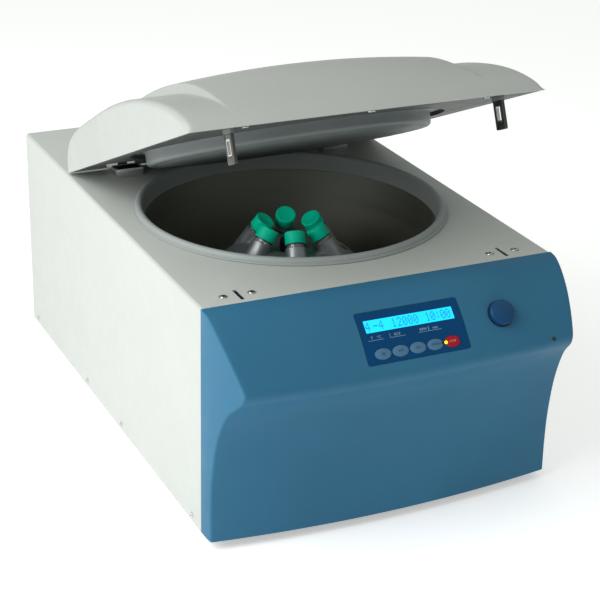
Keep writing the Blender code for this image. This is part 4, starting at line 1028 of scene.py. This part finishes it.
def lid_block(inset, base):
    """The lid as a closed block in its own frame: +X right, -Y forward, +Z up, rear rim at 0."""
    fillet = 0.007
    half = LID_HALF_WIDTH - inset
    right = [half - fillet + fillet * math.sin(math.radians(a)) for a in np.linspace(90, 0, 9)]
    right += list(np.linspace(half - fillet, LID_STEP_X + 0.0035, 6)[1:])
    right += list(np.linspace(LID_STEP_X + 0.0026, LID_STEP_X - 0.0026, 9))
    right += list(np.linspace(LID_STEP_X - 0.006, 0.0, 14)[:-1])
    across = [-x for x in right] + [0.0] + right[::-1]
    rows = lid_rows()
    work = bmesh.new()
    tops, bases = [], []
    for forward, cheek in rows:
        top, low = [], []
        for x in across:
            stretch = 1 + LID_FRONT_BOW / LID_LENGTH * (1 - (x / LID_HALF_WIDTH) ** 2)
            y = inset * 1.4 + forward * (LID_LENGTH - 2.8 * inset) / LID_LENGTH * stretch
            height = max(lid_height(x, forward, cheek), 0.0)
            over = max(abs(x) - (half - fillet), 0.0)
            radius = min(fillet, height)
            drop = radius - radius * math.sqrt(max(1 - (over / fillet) ** 2, 0.0))
            top.append(work.verts.new((x, -y, height - drop - inset)))
            low.append(work.verts.new((x, -y, base)))
        tops.append(top)
        bases.append(low)
    count = len(across)
    for r in range(len(rows) - 1):
        for n in range(count - 1):
            work.faces.new((tops[r][n], tops[r][n + 1], tops[r + 1][n + 1], tops[r + 1][n]))
        for n in (0, count - 1):
            work.faces.new((tops[r][n], tops[r + 1][n], bases[r + 1][n], bases[r][n]))
    for r in (0, len(rows) - 1):
        for n in range(count - 1):
            work.faces.new((tops[r][n], bases[r][n], bases[r][n + 1], tops[r][n + 1]))
    rear_to_front = [row[0] for row in bases]
    front_to_rear = [row[-1] for row in bases[::-1]]
    work.faces.new(rear_to_front + bases[-1][1:] + front_to_rear[1:] + bases[0][::-1][1:-1])
    bmesh.ops.remove_doubles(work, verts=[v for row in tops + bases for v in row], dist=1e-6)
    return done(work, "lid")


def make_lid():
    cover = piece("lid_shell", lid_block(0.0, 0.0), LID_PLASTIC, "lid", ["lid_cover"], 40)
    tools = [lid_block(LID_WALL, -0.012)]
    reach = HINGE_WIDTH / 2 + 0.0015
    for _, x in SIDES:
        middle = x * HINGE_X
        tools.append(box_mesh((middle - reach, -0.022, -0.01), (middle + reach, 0.01, 0.0190)))
    carve(cover, tools)
    cover.data.transform(LID_SPACE)

    half = LID_HALF_WIDTH - LID_WALL - 0.0010
    front, shoulder, rear = -0.4400, -0.4240, -0.0240
    outline = [
        (-half, rear), (-half, shoulder + 0.012), (-half + 0.010, shoulder), (-0.120, front),
        (0.120, front), (half - 0.010, shoulder), (half, shoulder + 0.012), (half, rear),
    ]
    mesh = prism_mesh(outline, LINER_LEVEL, LINER_LEVEL + LINER_THICKNESS)
    liner = piece("liner_sheet", mesh, LINER_PLASTIC, "lid", ["lid_liner"])
    tools = []
    for _, x in SIDES:
        middle = x * HINGE_X
        tools.append(box_mesh((middle - reach, -0.0455, -0.01), (middle + reach, 0.0, 0.02)))
    carve(liner, tools)
    soften(liner, 0.0006, 2)
    liner.data.transform(LID_SPACE)

    top = LINER_LEVEL - GAP
    depth = DISC_LEVEL
    wall = DISC_RADIUS - 0.0022
    side = spline([(wall, depth + 0.0050), (wall + 0.0002, top - 0.0060), (wall + 0.0008, top - 0.0020),
                   (DISC_RADIUS, top)], 4)
    edge = arc((wall - 0.0050, depth + 0.0050), 0.0050, 270, 360, 8)[:-1]
    outline = [(0.1600, top), (0.1600, depth + 0.0002), *edge, *side]
    rim = turned_mesh(outline, 160)
    centre = Matrix.Translation((0, ROTOR_Y - PIVOT.y - PIVOT_FORWARD, 0))
    piece("disc_rim", rim, LINER_PLASTIC, "lid", ["lid_disc"], 50, LID_SPACE @ centre)
    face = [(0.0, top), (0.0, depth), (0.1592, depth), (0.1598, depth + 0.0006), (0.1598, top)]
    piece("disc_face", turned_mesh(face, 160), DISC_FACE, "lid", (), 50, LID_SPACE @ centre)

    make_border(centre)
    spots = []
    for x, y in ((-0.146, -0.4420), (0.0, -0.4465), (0.146, -0.4420)):
        spots.append(LID_SPACE @ Matrix.Translation((x, y, BORDER_LEVEL)) @ Matrix.Rotation(math.pi, 4, "X"))
    screws("liner_screws", spots, 0.0042, 0.0019, "lid")
    make_strikers()
    make_hinges()


def make_border(centre):
    """The liner's outer border, level with the lid's rim and clear of the seal when the lid is shut."""
    half = LID_HALF_WIDTH - LID_WALL - 0.0004
    front = []
    for x in np.linspace(-half, half, 41):
        bow = LID_FRONT_BOW * (1 - (x / LID_HALF_WIDTH) ** 2)
        corner = 0.004 * max((abs(x) - half + 0.012) / 0.012, 0.0) ** 2
        front.append((x, -(LID_LENGTH - 0.0045 + bow - corner)))
    outline = [*front, (half, -0.078), (-half, -0.078)]
    mesh = prism_mesh(outline, BORDER_LEVEL, BORDER_LEVEL + 0.0016)
    border = piece("liner_border", mesh, BORDER_PLASTIC, "lid")
    ring = cylinder_mesh(BORDER_HOLE_RADIUS, -0.02, 0.02, 160)
    ring.transform(centre)
    carve(border, [ring])
    soften(border, 0.0005, 2)
    border.data.transform(LID_SPACE)
    step = [(0.1893, BORDER_LEVEL + 0.0004), (0.1906, BORDER_LEVEL + 0.0004),
            (0.1906, LINER_LEVEL + 0.0003), (0.1893, LINER_LEVEL + 0.0003)]
    piece("liner_step", turned_mesh(step, 160), LINER_PLASTIC, "lid",
          matrix=LID_SPACE @ centre)


def make_strikers():
    """Bright plates with a window, under a lighter tab; the bright rim inside each window is a painted
    highlight.
    """
    forward = PIVOT.y + PIVOT_FORWARD - SLOT_Y - 0.0018
    top, low = LINER_LEVEL - GAP, -STRIKER_HANG
    turn = Matrix(((0, 0, 1, 0), (1, 0, 0, 0), (0, 1, 0, 0), (0, 0, 0, 1)))

    def block(x, width, height, radius, half, middle):
        """A plate across X that hangs below the liner, with its middle at the given height."""
        mesh = prism_mesh(rounded_rectangle(width, height, radius), -half, half)
        mesh.transform(Matrix.Translation((x * LATCH_X, -forward, middle)) @ turn)
        return mesh

    for side, x in SIDES:
        plate = block(x, STRIKER_WIDTH, top - low, 0.0018, STRIKER_THICKNESS / 2, (top + low) / 2)
        striker = piece(f"striker_{side}_plate", plate, STRIKER_STEEL, "lid",
                        [f"striker_{side}"])
        carve(striker, [block(x, 0.011, 0.018, 0.0012, 0.01, WINDOW_MIDDLE)])
        soften(striker, 0.0004, 2)
        striker.data.transform(LID_SPACE)
        # A bright steel rim inside each window is a painted highlight of the light bouncing off the window's
        # inner edge.
        rim = block(x, 0.0107, 0.0177, 0.0012, 0.0019, WINDOW_MIDDLE)
        highlight_bezel = piece(f"striker_{side}_bezel", rim, STRIKER_HIGHLIGHT_EDGE, "lid")
        carve(highlight_bezel, [block(x, 0.0083, 0.0153, 0.0008, 0.01, WINDOW_MIDDLE)])
        highlight_bezel.data.transform(LID_SPACE)
        tab = block(x, STRIKER_WIDTH + 0.0012, 0.0090, 0.001, STRIKER_THICKNESS / 2 + 0.0006, top - 0.0045)
        piece(f"striker_{side}_tab", tab, LINER_PLASTIC, "lid", matrix=LID_SPACE)


def make_hinges():
    lug = KNUCKLE_RADIUS
    foot_low = LINER_LEVEL + LINER_THICKNESS + GAP
    deck_low, deck_high = 0.0095, 0.0135
    around = arc((-PIVOT_FORWARD, PIVOT_UP), lug, -60, 120, 18)
    arm_outline = [
        (-0.062, foot_low), (-0.047, foot_low), (-0.047, deck_low), (-0.0150, deck_low),
        *around, (-0.0200, deck_high), (-0.062, deck_high),
    ]
    base = TOP_Z + GAP
    rise = PIVOT.z - base
    back = PIVOT.y + 0.0120
    block_outline = [
        (HINGE_FRONT_Y, 0.0), (back, 0.0), (back, 0.0050),
        (HINGE_FRONT_Y + 0.0230, 0.0060), (HINGE_FRONT_Y + 0.0190, 0.0107), (HINGE_FRONT_Y, 0.0107),
    ]
    knuckle = [(PIVOT.y - lug, 0.001), (PIVOT.y + lug, 0.001), *arc((PIVOT.y, rise), lug, 0, 180, 18)]
    for side, x in SIDES:
        half = HINGE_WIDTH / 2 - 0.0025
        mesh = prism_mesh(arm_outline, x * HINGE_X - half, x * HINGE_X + half, axis="X")
        arm = piece(f"hinge_arm_{side}_plate", mesh, NEAR_BLACK_ARM_STEEL, "lid", [f"hinge_arm_{side}"])
        fork = KNUCKLE_WIDTH / 2 + 0.0005
        carve(arm, [box_mesh((x * HINGE_X - fork, -0.0165, -0.01), (x * HINGE_X + fork, 0.01, 0.03))])
        soften(arm, 0.0004, 2)
        arm.data.transform(LID_SPACE)
        half = HINGE_WIDTH / 2
        spot = Matrix.Translation((0, 0, base))
        mesh = prism_mesh(block_outline, x * HINGE_X - half, x * HINGE_X + half, axis="X")
        block = piece(f"hinge_block_{side}_body", mesh, ALUMINIUM, "case",
                      [f"hinge_block_{side}"], matrix=spot)
        reach = KNUCKLE_WIDTH / 2
        lug_mesh = prism_mesh(knuckle, x * HINGE_X - reach, x * HINGE_X + reach, axis="X")
        lug_mesh.transform(spot)
        carve(block, [lug_mesh], "UNION")
        pocket = box_mesh((x * HINGE_X - half + 0.0030, HINGE_FRONT_Y + 0.0026, base + 0.0090),
                          (x * HINGE_X + half - 0.0030, HINGE_FRONT_Y + 0.0172, base + 0.02))
        carve(block, [pocket])
        soften(block, 0.0005, 2)
        # The black pad at the bottom of each pocket is painted shade and a painted reflection of the lid's
        # dark underside.
        pad = box_mesh((x * HINGE_X - half + 0.0031, HINGE_FRONT_Y + 0.0027, base + 0.0090),
                       (x * HINGE_X + half - 0.0031, HINGE_FRONT_Y + 0.0171, base + 0.0103))
        piece(f"hinge_painted_shade_pad_{side}", pad, RUBBER, "case")


make_case()
make_panel()
make_keypad()
make_buttons()
make_knob()
make_seal()
make_bowl()
make_rotor()
make_tubes()
make_lid()


# ---------------------------------------------------------------- stage, light and camera
def make_stage():
    mesh = box_mesh((-14, -14, -0.05), (14, 14, -0.0002))
    floor = linked("floor", mesh)
    finish = look("floor", (0.92, 0.92, 0.92), 0.9, grain=0.0, mottle=0.0, spread=0.0,
                  Emission_Color=(1.0, 1.0, 1.0, 1), Emission_Strength=0.42)
    mesh.materials.append(finish)


def area_light(name, place, target, size, power, colour=(1, 1, 1)):
    lamp = bpy.data.lights.new(name, "AREA")
    lamp.shape = "RECTANGLE"
    lamp.size, lamp.size_y = size
    lamp.energy = power
    lamp.color = colour
    made = linked(name, lamp)
    made.location = place
    made.rotation_euler = (Vector(target) - Vector(place)).to_track_quat("-Z", "Y").to_euler()


def make_light():
    world = bpy.data.worlds.new("studio")
    world.use_nodes = True
    tree = world.node_tree
    sky = tree.nodes["Background"].inputs
    sky["Color"].default_value = (0.965, 1.0, 0.965, 1)
    parts = node(tree, "SeparateXYZ", Vector=node(tree, "TexCoord").outputs["Generated"])
    fade = node(tree, "MapRange", To_Min=0.26, To_Max=0.66, Value=parts.outputs["Z"])
    tree.links.new(fade.outputs["Result"], sky["Strength"])
    bpy.context.scene.world = world
    area_light("left", (-1.15, -0.5, 1.15), (0, 0, 0.25), (1.0, 1.0), 12.5)
    area_light("rear_left", (-1.0, 0.4, 1.3), (0, 0, 0.25), (1.0, 1.0), 6.5)
    area_light("low", (-2.0, -0.2, 0.6), (0, 0, 0.25), (1.4, 1.4), 9.5, (0.97, 1.0, 1.0))


def make_camera():
    lens = bpy.data.cameras.new("camera")
    lens.lens = 104.083
    lens.sensor_width = 36.0
    lens.clip_end = 60
    made = linked("camera", lens)
    azimuth, elevation, roll = math.radians(-25.403), math.radians(23.596), math.radians(1.315)
    back = Vector((math.sin(azimuth) * math.cos(elevation), -math.cos(azimuth) * math.cos(elevation),
                   math.sin(elevation)))
    right = (-back).cross(Vector((0, 0, 1))).normalized()
    up = right.cross(-back)
    tilted_right = math.cos(roll) * right + math.sin(roll) * up
    tilted_up = -math.sin(roll) * right + math.cos(roll) * up
    turn = Matrix((tilted_right, tilted_up, back)).transposed().to_4x4()
    made.matrix_world = Matrix.Translation((-0.83190, -1.81382, 1.01858)) @ turn
    bpy.context.scene.camera = made


make_stage()
make_light()
make_camera()
bpy.context.scene.view_settings.view_transform = "Standard"
